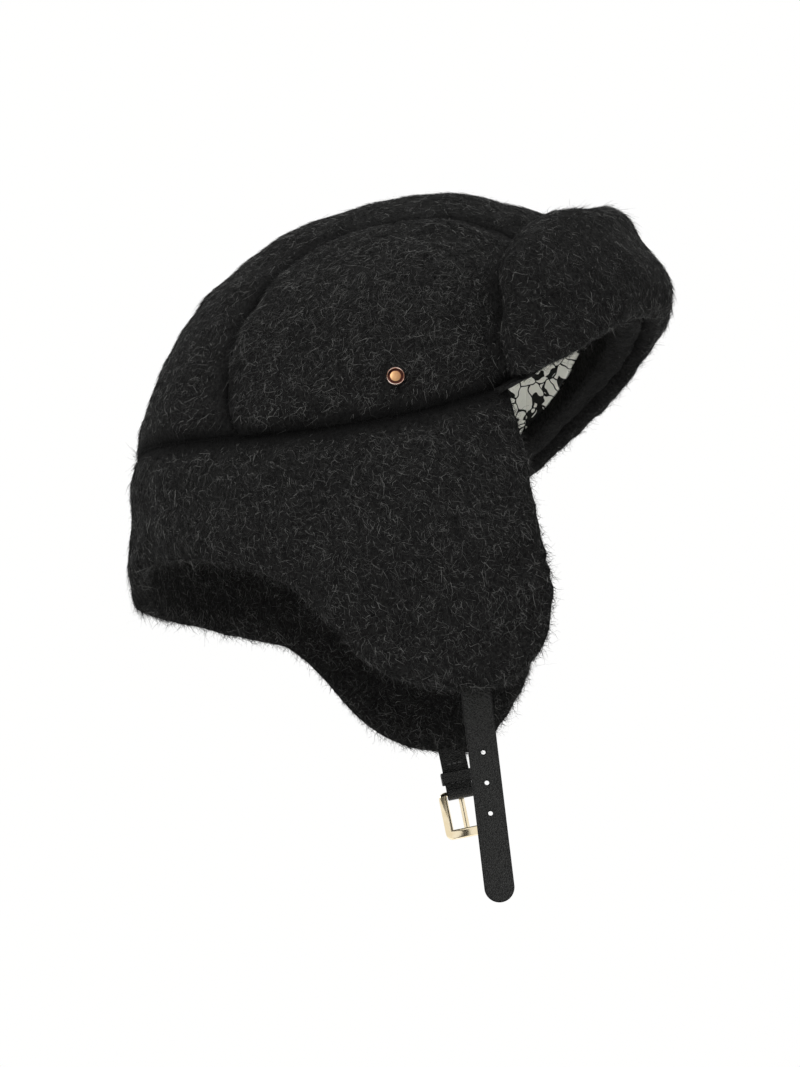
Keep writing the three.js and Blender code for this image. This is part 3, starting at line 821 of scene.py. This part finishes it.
def lining():
    u, v = grid(60, 30, 0.2, 0.2)
    outer, inner = (centre_panel_grid(u, v, depth, True, -SEAM_GAP) for depth in LINING_DEPTHS)
    width, length, area = sheet_size(outer)
    piece = slab("lining_centre_satin", outer, inner, satin)
    finish_lining(piece, "lining_centre_panel")
    for side, name in SIDES:
        depths = [depth + LINING_LAP_DEPTH for depth in LINING_DEPTHS]
        outer, inner = (side_panel_grid(u, v, depth, True, -LINING_LAP) for depth in depths)
        width, length, area = sheet_size(outer)
        piece = slab(f"lining_side_satin_{name}", mirrored(outer, side), mirrored(inner, side), satin)
        finish_lining(piece, f"lining_side_panel_{name}")


# ---- Mohair fibres ----
BATCHES = ("_under", "_over")  # the larger panels' pile is made as two pieces, to keep each one light
BATCHED, BATCH_SEED = ("centre", "lower"), 10
# The pile of each panel: how many fibres, where they are brushed to, how loosely, and the seed.
PILE = {
    "centre": (27000, (0.2, 1.0, -0.3), 1.1, 0),
    "side": (29000, (0, 0.8, -0.8), 1.1, 1),
    "brow": (11000, (0, 0.3, -1.0), 1.1, 2),
    "lower": (31000, (0, -0.35, -1.0), 0.9, 3),
    "flap": (33000, (0, -0.6, -0.8), 1.4, 4),
}
BROW_LIT = 0.35  # share of the brow's pile that may be lighter than black; the rest is painted black as painted shade inside the brow
WISP = 13.0  # the brushing changes direction over about this length
CREASE_TIGHT, CREASE_OPEN = 3.3, 8.4  # the pile is flat and painted black in a crease as painted shade, and full from here on
STANDING_IN_CREASE = 0.3  # share of the pile that is left in a crease
# Felted under-pile, combed pile and stray hairs: share, length, lift, width, and spread of their direction.
FIBRE_KINDS = (
    (0.72, (1.8, 4.6), (0.1, 0.4), 0.23, 1.2),
    (0.265, (4.0, 8.5), (0.2, 0.7), 0.18, 0.5),
    (0.015, (3.5, 8.0), (0.5, 1.6), 0.09, 0.9),
)
FIBRE_STEPS, FIBRE_ROOT = 3, 0.3  # segments in a fibre, and how deep it is rooted
FIBRE_CURL, FIBRE_WAVE, FIBRE_TWIST = 0.42, 0.13, 1.1
FIBRE_TAPER, TAPER_CURVE = 0.8, 1.5
WIDTH_SPREAD = (0.7, 1.3)


def surface_points(piece, count, draw, keep=None):
    """Random points on a piece with their normals, evenly by area."""
    mesh = piece.data
    mesh.calc_loop_triangles()
    corners = np.empty(len(mesh.loop_triangles) * 3, np.int32)
    mesh.loop_triangles.foreach_get("vertices", corners)
    corners = corners.reshape(-1, 3)
    points, outwards = coordinates(piece), vectors(mesh, "normal")
    if keep is not None:
        corners = corners[keep(points[corners].mean(1), outwards[corners].mean(1))]
    a, b, c = (points[corners[:, k]] for k in range(3))
    area = np.linalg.norm(np.cross(b - a, c - a), axis=1)
    chosen = draw.choice(len(corners), count, p=area / area.sum())
    s, t = draw.random(count), draw.random(count)
    over = s + t > 1
    s[over], t[over] = 1 - s[over], 1 - t[over]
    place = a[chosen] + (b - a)[chosen] * s[:, None] + (c - a)[chosen] * t[:, None]
    outward = (
        outwards[corners[chosen, 0]] * (1 - s - t)[:, None]
        + outwards[corners[chosen, 1]] * s[:, None]
        + outwards[corners[chosen, 2]] * t[:, None]
    )
    return place, outward / np.maximum(np.linalg.norm(outward, axis=1, keepdims=True), 1e-9)


def unit(v):
    return v / np.maximum(np.linalg.norm(v, axis=-1, keepdims=True), 1e-9)


def fibre_strips(place, outward, flow, draw, length, lift, width, spread):
    """Tapered ribbons that start on the surface and lie along it. All sizes are in millimetres."""
    count = len(place)
    side = unit(np.cross(outward, flow))
    along = unit(np.cross(side, outward))
    turn = draw.normal(0, spread, count)[:, None]
    heading = along * np.cos(turn) + side * np.sin(turn)
    sideways = np.cross(outward, heading)
    long = draw.uniform(*length, count)[:, None] * MM
    high = draw.uniform(*lift, count)[:, None] * MM
    curl = draw.normal(0, FIBRE_CURL, count)[:, None]
    wave = draw.normal(0, FIBRE_WAVE, count)[:, None]
    twist = draw.uniform(-FIBRE_TWIST, FIBRE_TWIST, count)[:, None]
    wide = draw.uniform(*WIDTH_SPREAD, count)[:, None] * width * MM / 2
    flat_across = sideways * np.cos(twist) + outward * np.sin(twist)
    rows = []
    for t in (step / FIBRE_STEPS for step in range(FIBRE_STEPS + 1)):
        rise = high * (1 - (1 - t) ** 2) - FIBRE_ROOT * MM * (1 - t)
        swing = curl * t * t + wave * math.sin(t * 2 * math.pi)
        centre = place + heading * long * t + sideways * long * swing + outward * rise
        half = wide * (1 - FIBRE_TAPER * t**TAPER_CURVE)
        rows.append(centre - flat_across * half)
        rows.append(centre + flat_across * half)
    points = np.stack(rows, 1).reshape(-1, 3) / MM
    fibre = (np.arange(count) * 2 * (FIBRE_STEPS + 1))[:, None, None]
    step = (np.arange(FIBRE_STEPS) * 2)[None, :, None]
    faces = (fibre + step + np.array([0, 1, 3, 2])).reshape(-1, 4)
    return points, faces


def quad_mesh(name, points, faces, surfaces, indices):
    """A mesh of many quads, each with the number of its material, made faster than mesh_piece makes it."""
    mesh = bpy.data.meshes.new(name)
    mesh.vertices.add(len(points))
    mesh.vertices.foreach_set("co", (points * MM).astype(np.float32).ravel())
    mesh.loops.add(faces.size)
    mesh.loops.foreach_set("vertex_index", faces.astype(np.int32).ravel())
    mesh.polygons.add(len(faces))
    mesh.polygons.foreach_set("loop_start", (np.arange(len(faces)) * 4).astype(np.int32))
    for surface in surfaces:
        mesh.materials.append(surface)
    mesh.polygons.foreach_set("material_index", indices.astype(np.int32))
    mesh.update(calc_edges=True)
    mesh.validate()
    return add_object(name, mesh)


def wisps(place):
    """A soft random direction at each point."""
    return np.array([noise.noise_vector(Vector(p) / (WISP * MM)) for p in place])


def openness(piece, cloths, place):
    """From 0 where a point on a piece touches another piece of cloth to 1 where it stands clear of them."""
    others = [other for other in cloths if other is not piece]
    tree = kdtree.KDTree(sum(len(other.data.vertices) for other in others))
    for other in others:
        for point in coordinates(other):
            tree.insert(point, 0)
    tree.balance()
    gap = np.array([tree.find(point)[2] for point in place]) / MM
    return ramp(gap, CREASE_TIGHT, CREASE_OPEN)


def grow_fibres(piece, cloths, kind, keep=None, batch=0, lit=1.0):
    """The pile of one panel. keep picks its faces, and lit is the share that may be lighter than black; the
    rest, and the pile in creases, is painted black as painted shade.
    """
    count, heading, scatter, seed = PILE[kind]
    draw = np.random.default_rng(SEED + seed + BATCH_SEED * batch)
    count = count
    parts, faces, indices, first = [], [], [], 0
    for share, length, lift, width, spread in FIBRE_KINDS:
        number = int(count * share)
        place, outward = surface_points(piece, number, draw, keep)
        clear = openness(piece, cloths, place)
        standing = draw.random(number) < mix(STANDING_IN_CREASE, 1.0, clear)
        place, outward, clear = place[standing], outward[standing], clear[standing]
        flow = np.array(heading, float) + scatter * wisps(place)
        strips, quads = fibre_strips(place, outward, flow, draw, length, lift, width, spread)
        parts.append(strips)
        faces.append(quads + first)
        first += len(strips)
        shade = draw.choice(len(FIBRES), len(place), p=FIBRE_SHARES)
        # Painted shade: fibres in creases, and all but the lit share, take the black fibre.
        shade[draw.random(len(place)) > clear * lit] = 0
        indices.append(np.repeat(shade, FIBRE_STEPS))
    name = piece.name.replace("cloth", "fibres") + (BATCHES[batch] if kind in BATCHED else "")
    fibres = quad_mesh(name, np.concatenate(parts), np.concatenate(faces), FIBRES, np.concatenate(indices))
    return fibres


def both_batches(piece, cloths, kind, keep=None):
    return [grow_fibres(piece, cloths, kind, keep, batch) for batch in range(len(BATCHES))]


# ---- Straps ----
STRAP_WIDTH, STRAP_THICK, STRAP_LENGTH = 12.6, 2.2, 89.0
STRAP_LEAN = math.radians(5)
STRAP_X, STRAP_Y, CHAPE_Y = 84.0, -9.0, -3.0
HOLE_RADIUS, HOLE_FIRST, HOLE_PITCH, HOLE_COUNT = 1.0, 25.6, 13.0, 3
CHAPE_THICK, CHAPE_LENGTH, LOOP_RADIUS, BAR_HOLE = 4.2, 18.5, 3.1, 1.8
KEEPER_DROP, KEEPER_HEIGHT, KEEPER_WALL, KEEPER_GAP = 13.8, 5.4, 1.1, 0.3
BUCKLE_WIDTH, BUCKLE_HEIGHT, SIDE_BAR, END_BAR, HINGE_BAR = 21.5, 23.0, 4.0, 4.6, 2.2
BUCKLE_THICK, BUCKLE_CORNER = 2.0, 3.4
PRONG_WIDTH, PRONG_RING, PRONG_LENGTH = 2.6, 2.9, 20.6
BAR_Z = EAR_BOTTOM_Z - CHAPE_LENGTH
BAR_PLACE = (STRAP_X, CHAPE_Y, BAR_Z)
SEWN_GAP = 1.0  # the CAD straps start this far below the ear flap
SEWN_IN = 4.5  # these straps reach this far further up, to be sewn into the flap
LEATHER_BEVEL, CHAPE_BEVEL, KEEPER_BEVEL, FRAME_BEVEL, PRONG_BEVEL = 0.45, 0.5, 0.4, 0.45, 0.35
FLAT_FACE, CUT_FACE = 0.97, 0.5  # how closely a flat face, or a cut one, looks along its axis
KEEPER_CORNERS = (1.3, 0.5)
PRONG_INNER_FACE, PRONG_TIP = 1.4, 1.0
STITCH_ROWS, STITCHES = (0.2, 0.72), (-1, 0, 1)  # places of rows down the strap, and of stitches in a row
STITCH_LENGTH, STITCH_RADIUS, STITCH_PITCH = 1.9, 0.28, 2.6
# A stitch narrows towards its ends: place along it, and share of its full radius.
STITCH_SECTIONS = ((-0.5, 0.25), (-0.36, 0.85), (0.0, 1.0), (0.36, 0.85), (0.5, 0.25))

# Where a plate's own x, y and z point when it stands: seen from the front, or from one side of the hat.
SEEN_FROM_FRONT = ((1, 0, 0), (0, 0, 1), (0, -1, 0))
SEEN_FROM_SIDE = {LEFT: ((0, 1, 0), (0, 0, 1), (1, 0, 0)), RIGHT: ((0, -1, 0), (0, 0, 1), (-1, 0, 0))}
LYING = ((1, 0, 0), (0, 1, 0), (0, 0, 1))


def arc(cx, cy, radius, start, end, count=14):
    turn = np.linspace(start, end, count)
    return np.stack([cx + radius * np.cos(turn), cy + radius * np.sin(turn)], -1)


def circle(cx, cy, radius):
    return arc(cx, cy, radius, 0, 2 * math.pi, 25)[:-1]


def plate(name, outlines, thickness, bevel, surface, columns, origin, steps=3):
    """A flat plate with bevelled edges, drawn as an outline and the outlines of its holes.

    columns are the directions in which its own x, y and z point, and origin is in millimetres.
    """
    curve = bpy.data.curves.new(name, "CURVE")
    curve.dimensions = "2D"
    curve.fill_mode = "BOTH"
    for outline in outlines:
        spline = curve.splines.new("POLY")
        spline.points.add(len(outline) - 1)
        height, weight = np.zeros(len(outline)), np.ones(len(outline))
        spline.points.foreach_set("co", np.column_stack([outline * MM, height, weight]).ravel())
        spline.use_cyclic_u = True
    curve.extrude = (thickness / 2 - bevel) * MM
    curve.bevel_depth = bevel * MM
    curve.bevel_resolution = steps
    curve.offset = -bevel * MM
    holder = add_object(name + "_curve", curve)
    depsgraph = bpy.context.evaluated_depsgraph_get()
    mesh = bpy.data.meshes.new_from_object(holder.evaluated_get(depsgraph))
    bpy.data.objects.remove(holder)
    mesh.name = name
    mesh.materials.clear()
    mesh.materials.append(surface)
    return stand(weld(add_object(name, mesh), 0.004), columns, origin)


def stand(piece, columns, origin):
    turn = Matrix([Vector(c) for c in columns]).transposed().to_4x4()
    piece.data.transform(Matrix.Translation(Vector(origin) * MM) @ turn)
    piece.data.update()
    return piece


def shade_by_angle(piece, degrees=35):
    smooth_faces(piece.data)
    edges = bmesh.new()
    edges.from_mesh(piece.data)
    for edge in edges.edges:
        if len(edge.link_faces) == 2 and edge.calc_face_angle() > math.radians(degrees):
            edge.smooth = False
    edges.to_mesh(piece.data)
    edges.free()
    return piece


def paint_edges(piece, painted):
    """Faces for whose normal painted is true take the edge paint."""
    piece.data.materials.append(edge_paint)
    for face in piece.data.polygons:
        face.material_index = int(painted(face.normal))


def belongs(piece, node, body):
    """Hides the CAD node that a rigid piece stands for, and attaches the piece to the body it rides on."""
    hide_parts(node)
    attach(piece, body)


def strap_outline():
    half = STRAP_WIDTH / 2
    tip = arc(0, half - STRAP_LENGTH, half, math.pi, 2 * math.pi, 24)
    return np.concatenate([[[-half, SEWN_IN]], tip, [[half, SEWN_IN]]])[::-1]


def strap_frame():
    """Directions across, along and through the hanging strap, which leans back a little towards its tip."""
    s, c = math.sin(STRAP_LEAN), math.cos(STRAP_LEAN)
    return Vector((0, c, s)), Vector((0, -s, c)), Vector((1, 0, 0))


def hole_strap():
    across, along, through = strap_frame()
    holes = [circle(0, -HOLE_FIRST - n * HOLE_PITCH, HOLE_RADIUS) for n in range(HOLE_COUNT)]
    outlines = [strap_outline(), *holes]
    turned, origin = (across, along, through), (RIGHT * STRAP_X, STRAP_Y, EAR_BOTTOM_Z - SEWN_GAP)
    piece = plate("hole_strap_leather", outlines, STRAP_THICK, LEATHER_BEVEL, leather, turned, origin)
    paint_edges(piece, lambda normal: abs(normal.dot(through)) < FLAT_FACE)
    shade_by_angle(piece)
    belongs(piece, "hole_strap", "hole_strap")


def box_outline(width, height, centre=0.0):
    w, h = width / 2, height / 2
    return np.array([[-w, centre - h], [w, centre - h], [w, centre + h], [-w, centre + h]])


def rounded_outline(width, height, radius, centre=0.0):
    w, h = width / 2 - radius, height / 2 - radius
    quarter = math.pi / 2
    corners = ((w, h), (-w, h), (-w, -h), (w, -h))
    return np.concatenate(
        [arc(x, centre + y, radius, n * quarter, (n + 1) * quarter, 8) for n, (x, y) in enumerate(corners)]
    )


def buckle_strap():
    """The short strap is folded round the buckle's bar, so its side view is a drop with a hole in it."""
    half = CHAPE_THICK / 2
    meet = math.acos(half / LOOP_RADIUS)
    top = EAR_BOTTOM_Z - SEWN_GAP - BAR_Z
    loop = arc(0, 0, LOOP_RADIUS, math.pi - meet, 2 * math.pi + meet, 30)
    outline = np.concatenate([[[half, top + SEWN_IN], [-half, top + SEWN_IN]], loop])
    outlines = [outline, circle(0, 0, BAR_HOLE)]
    turned = SEEN_FROM_FRONT, BAR_PLACE
    piece = plate("buckle_strap_leather", outlines, STRAP_WIDTH, CHAPE_BEVEL, leather, *turned)
    paint_edges(piece, lambda normal: abs(normal.y) > CUT_FACE)
    shade_by_angle(piece)
    belongs(piece, "buckle_strap", "buckle_strap")
    stitch_rows(top)


def stitch_rows(top):
    """Two short rows of black stitches on each face of the folded strap."""
    for side, name in ((1, "outer"), (-1, "inner")):
        points, faces = [], []
        for row in STITCH_ROWS:
            for n in STITCHES:
                y, z = CHAPE_Y + n * STITCH_PITCH, BAR_Z + top * (1 - row)
                add_stitch(points, faces, (STRAP_X + side * (CHAPE_THICK / 2), y, z))
        piece = mesh_piece(f"buckle_strap_stitches_{name}", points, faces, thread)
        smooth_faces(piece.data)
        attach(piece, "buckle_strap")


def add_stitch(points, faces, centre, sides=8):
    """Adds one stitch that lies along y: a short rod, wider than it is thick, with narrowed ends."""
    first, rings = len(points), len(STITCH_SECTIONS)
    for along, size in STITCH_SECTIONS:
        for k in range(sides):
            turn = 2 * math.pi * k / sides
            x = centre[0] + STITCH_RADIUS * size * math.cos(turn)
            z = centre[2] + 2 * STITCH_RADIUS * size * math.sin(turn)
            points.append((x, centre[1] + along * STITCH_LENGTH, z))
    faces += ring_faces(rings, sides, first)
    faces.append(tuple(first + k for k in range(sides))[::-1])
    faces.append(tuple(first + (rings - 1) * sides + k for k in range(sides)))


def ring_faces(rings, sides, first=0):
    """The faces between rings of points that follow one another."""
    faces = []
    for ring in range(rings - 1):
        for k in range(sides):
            a, b = first + ring * sides + k, first + ring * sides + (k + 1) % sides
            faces.append((a, b, b + sides, a + sides))
    return faces


def keeper():
    """The small leather loop that holds the folded strap together above the buckle."""
    width, depth = STRAP_WIDTH + 2 * KEEPER_GAP, CHAPE_THICK + 2 * KEEPER_GAP
    outer = rounded_outline(depth + 2 * KEEPER_WALL, width + 2 * KEEPER_WALL, KEEPER_CORNERS[0])
    inner = rounded_outline(depth, width, KEEPER_CORNERS[1])
    origin = (STRAP_X, CHAPE_Y, EAR_BOTTOM_Z - KEEPER_DROP + KEEPER_HEIGHT / 2)
    piece = plate("keeper_leather", [outer, inner], KEEPER_HEIGHT, KEEPER_BEVEL, leather, LYING, origin)
    paint_edges(piece, lambda normal: abs(normal.z) > CUT_FACE)
    shade_by_angle(piece)
    belongs(piece, "keeper_loop", "buckle_strap")


# ---- Buckle ----
def buckle():
    top = HINGE_BAR / 2
    centre = top - BUCKLE_HEIGHT / 2
    outer = rounded_outline(BUCKLE_WIDTH, BUCKLE_HEIGHT, BUCKLE_CORNER, centre)
    inner_height = BUCKLE_HEIGHT - HINGE_BAR - END_BAR
    inner = box_outline(BUCKLE_WIDTH - 2 * SIDE_BAR, inner_height, -top - inner_height / 2)
    turned, outlines = (SEEN_FROM_SIDE[LEFT], BAR_PLACE), [outer, inner]
    piece = plate("buckle_frame_gold", outlines, BUCKLE_THICK, FRAME_BEVEL, pale_gold, *turned, steps=4)
    shade_by_angle(piece, 30)
    belongs(piece, "buckle_frame", "buckle_frame")


def prong():
    """The prong, seen from the side: a ring round the bar, and a straight pin down to its tip."""
    meet = math.acos(PRONG_INNER_FACE / PRONG_RING)
    ring = arc(0, 0, PRONG_RING, 0, 2 * math.pi - meet, 34)
    tip = np.array(
        [
            [PRONG_INNER_FACE, PRONG_TIP - PRONG_LENGTH],
            [(PRONG_INNER_FACE + PRONG_RING) / 2, -PRONG_LENGTH],
            [PRONG_RING, PRONG_TIP - PRONG_LENGTH],
        ]
    )
    outlines = [np.concatenate([ring, tip]), circle(0, 0, BAR_HOLE)]
    turned = SEEN_FROM_FRONT, BAR_PLACE
    piece = plate("buckle_prong_gold", outlines, PRONG_WIDTH, PRONG_BEVEL, pale_gold, *turned)
    shade_by_angle(piece)
    belongs(piece, "buckle_prong", "buckle_prong")


# ---- Studs ----
STUD_Y, STUD_Z, STUD_RADIUS, POST_RADIUS, POST_REACH = -2.6, -7.5, 4.2, 1.5, 5.6
STUD_SINK = 0.5  # how far the cap's underside is pressed into the cloth
# The cap's profile: distance in from its rim, and height above the cloth.
STUD_RIM = ((0.3, 0), (0, 0.3), (0, 0.7), (0.2, 1.2), (0.5, 1.5), (0.8, 1.2))
STUD_GROOVE, STUD_BUTTON = ((1.0, 0.3), (1.8, 0.3)), ((1.9, 0.9), (2.2, 0.95))
BUTTON_HEIGHT = 1.0
RECESS_FROM, BUTTON_FROM, RECESS_ABOVE = 0.75, 2.0, 0.25  # in from the rim, and up from the cloth


def turned_piece(name, profile, surface, segments=48):
    """A round piece from its profile: a list of (radius, height)."""
    points = []
    for radius, height in profile:
        for k in range(segments):
            turn = 2 * math.pi * k / segments
            points.append((radius * math.cos(turn), radius * math.sin(turn), height))
    faces = ring_faces(len(profile), segments)
    return weld(mesh_piece(name, points, faces, surface), 0.01)


def stud_seat(cloth):
    """How far out from the middle of the hat the cloth reaches where the stud sits on it."""
    points = coordinates(cloth) / MM
    near = np.hypot(points[:, 1] - STUD_Y, points[:, 2] - STUD_Z) < STUD_RADIUS
    return np.abs(points[near, 0]).max()


def stud(side, name, cloth):
    rim = [(STUD_RADIUS - inset, height) for inset, height in (*STUD_RIM, *STUD_GROOVE, *STUD_BUTTON)]
    post = [(0, -POST_REACH), (POST_RADIUS, -POST_REACH), (POST_RADIUS, 0)]
    button = [(POST_RADIUS / 2, BUTTON_HEIGHT), (0, BUTTON_HEIGHT)]
    piece = turned_piece(f"stud_gold_{name}", post + rim + button, rose_gold)
    piece.data.materials.append(stud_groove_painted_shade)
    piece.data.materials.append(stud_button)
    # Faces in the cap's groove take the darker metal as painted shade; the button in the middle takes its
    # own metal.
    for face in piece.data.polygons:
        centre = face.center / MM
        from_rim = STUD_RADIUS - math.hypot(centre.x, centre.y)
        if centre.z > RECESS_ABOVE and from_rim > RECESS_FROM:
            face.material_index = 1 if from_rim < BUTTON_FROM else 2
    stand(piece, SEEN_FROM_SIDE[side], (side * (stud_seat(cloth) - STUD_SINK), STUD_Y, STUD_Z))
    shade_by_angle(piece, 40)
    belongs(piece, f"stud_cap_{name}", "root")


def bend_ear(piece):
    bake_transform(piece)


def bend_flap(piece):
    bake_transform(piece)


# ---- Put the hat together ----
CROWN_MIDDLE = np.array([0, 0, 10 * MM])
STUD_CLEARANCE = 1.0


def assemble():
    centre = crown_centre()
    sides = {name: crown_side(side, name) for side, name in SIDES}
    brow = brow_roll()
    flap = front_flap()
    lowers = {name: lower_half(side, name) for side, name in SIDES}
    cloths = [centre, *sides.values(), brow, flap, *lowers.values()]
    coat = both_batches(centre, cloths, "centre", outer_only)
    coat += [grow_fibres(sides[name], cloths, "side", clear_of_stud) for _, name in SIDES]
    coat.append(grow_fibres(brow, cloths, "brow", lit=BROW_LIT))
    for piece in (centre, *sides.values(), brow, *coat):
        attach(piece, "root")
    for side, name in SIDES:
        for piece in (lowers[name], *both_batches(lowers[name], cloths, "lower")):
            bend_ear(piece)
        stud(side, name, sides[name])
    for piece in (flap, grow_fibres(flap, cloths, "flap")):
        bend_flap(piece)
    lining()
    hole_strap()
    buckle_strap()
    keeper()
    buckle()
    prong()


def outer_only(points, outwards):
    """Keeps the faces that look away from the middle of the hat."""
    return ((points - CROWN_MIDDLE) * outwards).sum(1) > 0


def clear_of_stud(points, outwards):
    from_stud = np.hypot(points[:, 1] / MM - STUD_Y, points[:, 2] / MM - STUD_Z)
    return outer_only(points, outwards) & (from_stud > STUD_RADIUS + STUD_CLEARANCE)


def finish_hidden_nodes():
    for name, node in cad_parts.items():
        if not node.hide_render:
            surface = rose_gold if name.startswith("stud") else wadding
            node.data.materials.clear()
            node.data.materials.append(surface)


# ---- Stage ----
# Soft lights: name, place, the point they look at, size across in metres, and power in watts.
LIGHTS = (
    ("key", (-1.4, 0.55, 0.75), (0, 0, -0.03), 0.8, 17),
    ("top", (-0.3, -0.5, 1.4), (0, 0, 0), 0.9, 8),
)
ROOM_WHITE = (1.0, 1.0, 0.995, 1)
FLOOR_HALF, FLOOR_Z = 9000.0, -620.0


def light(name, place, target, size, energy):
    lamp = bpy.data.lights.new(name, "AREA")
    lamp.shape = "DISK"
    lamp.size = size
    lamp.energy = energy
    holder = add_object(name, lamp)
    holder.location = place
    holder.rotation_euler = (Vector(target) - Vector(place)).to_track_quat("-Z", "Y").to_euler()


def floor():
    paper = grained_material("floor_paper", 0.9, 6.0, (0.9, 0.9, 0.89), (0.92, 0.92, 0.91))[0]
    corners = ((-1, -1), (1, -1), (1, 1), (-1, 1))
    points = [(x * FLOOR_HALF, y * FLOOR_HALF, FLOOR_Z) for x, y in corners]
    piece = mesh_piece("floor", points, [(0, 1, 2, 3)], paper)
    piece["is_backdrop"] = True


def white_room():
    world = bpy.data.worlds.new("white_room")
    world.use_nodes = True
    background = world.node_tree.nodes["Background"]
    background.inputs["Color"].default_value = ROOM_WHITE
    background.inputs["Strength"].default_value = 1.0
    bpy.context.scene.world = world


CAMERA_TARGET = Vector((0, 0.0045, -0.0552))
CAMERA_AZIMUTH, CAMERA_ELEVATION, CAMERA_ROLL = (math.radians(a) for a in (267, -13, 11.7))
CAMERA_DISTANCE, CAMERA_LENS = 1.300, 127.2


def camera():
    lens = bpy.data.cameras.new("camera")
    lens.sensor_fit = "HORIZONTAL"
    lens.lens = CAMERA_LENS
    holder = add_object("camera", lens)
    a, e, tilt = CAMERA_AZIMUTH, CAMERA_ELEVATION, CAMERA_ROLL
    back = Vector((math.sin(a) * math.cos(e), -math.cos(a) * math.cos(e), math.sin(e)))
    right = Vector((0, 0, 1)).cross(back).normalized()
    up = back.cross(right)
    x_axis = right * math.cos(tilt) - up * math.sin(tilt)
    y_axis = right * math.sin(tilt) + up * math.cos(tilt)
    turn = Matrix([x_axis, y_axis, back]).transposed()
    holder.matrix_world = Matrix.Translation(CAMERA_TARGET + back * CAMERA_DISTANCE) @ turn.to_4x4()
    bpy.context.scene.camera = holder


def stage():
    floor()
    white_room()
    for settings in LIGHTS:
        light(*settings)
    camera()
    bpy.context.scene.view_settings.view_transform = "Standard"


def whole_box():
    """Lowest and highest corners of everything that is shown."""
    low, high = np.full(3, np.inf), np.full(3, -np.inf)
    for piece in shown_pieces():
        if piece.type == "MESH":
            points = coordinates(piece)
            low, high = np.minimum(low, points.min(0)), np.maximum(high, points.max(0))
    return [low.tolist(), high.tolist()]


assemble()
finish_hidden_nodes()
stage()
{"cad": [list(map(float, corner)) for corner in cad_box], "visual": whole_box()}
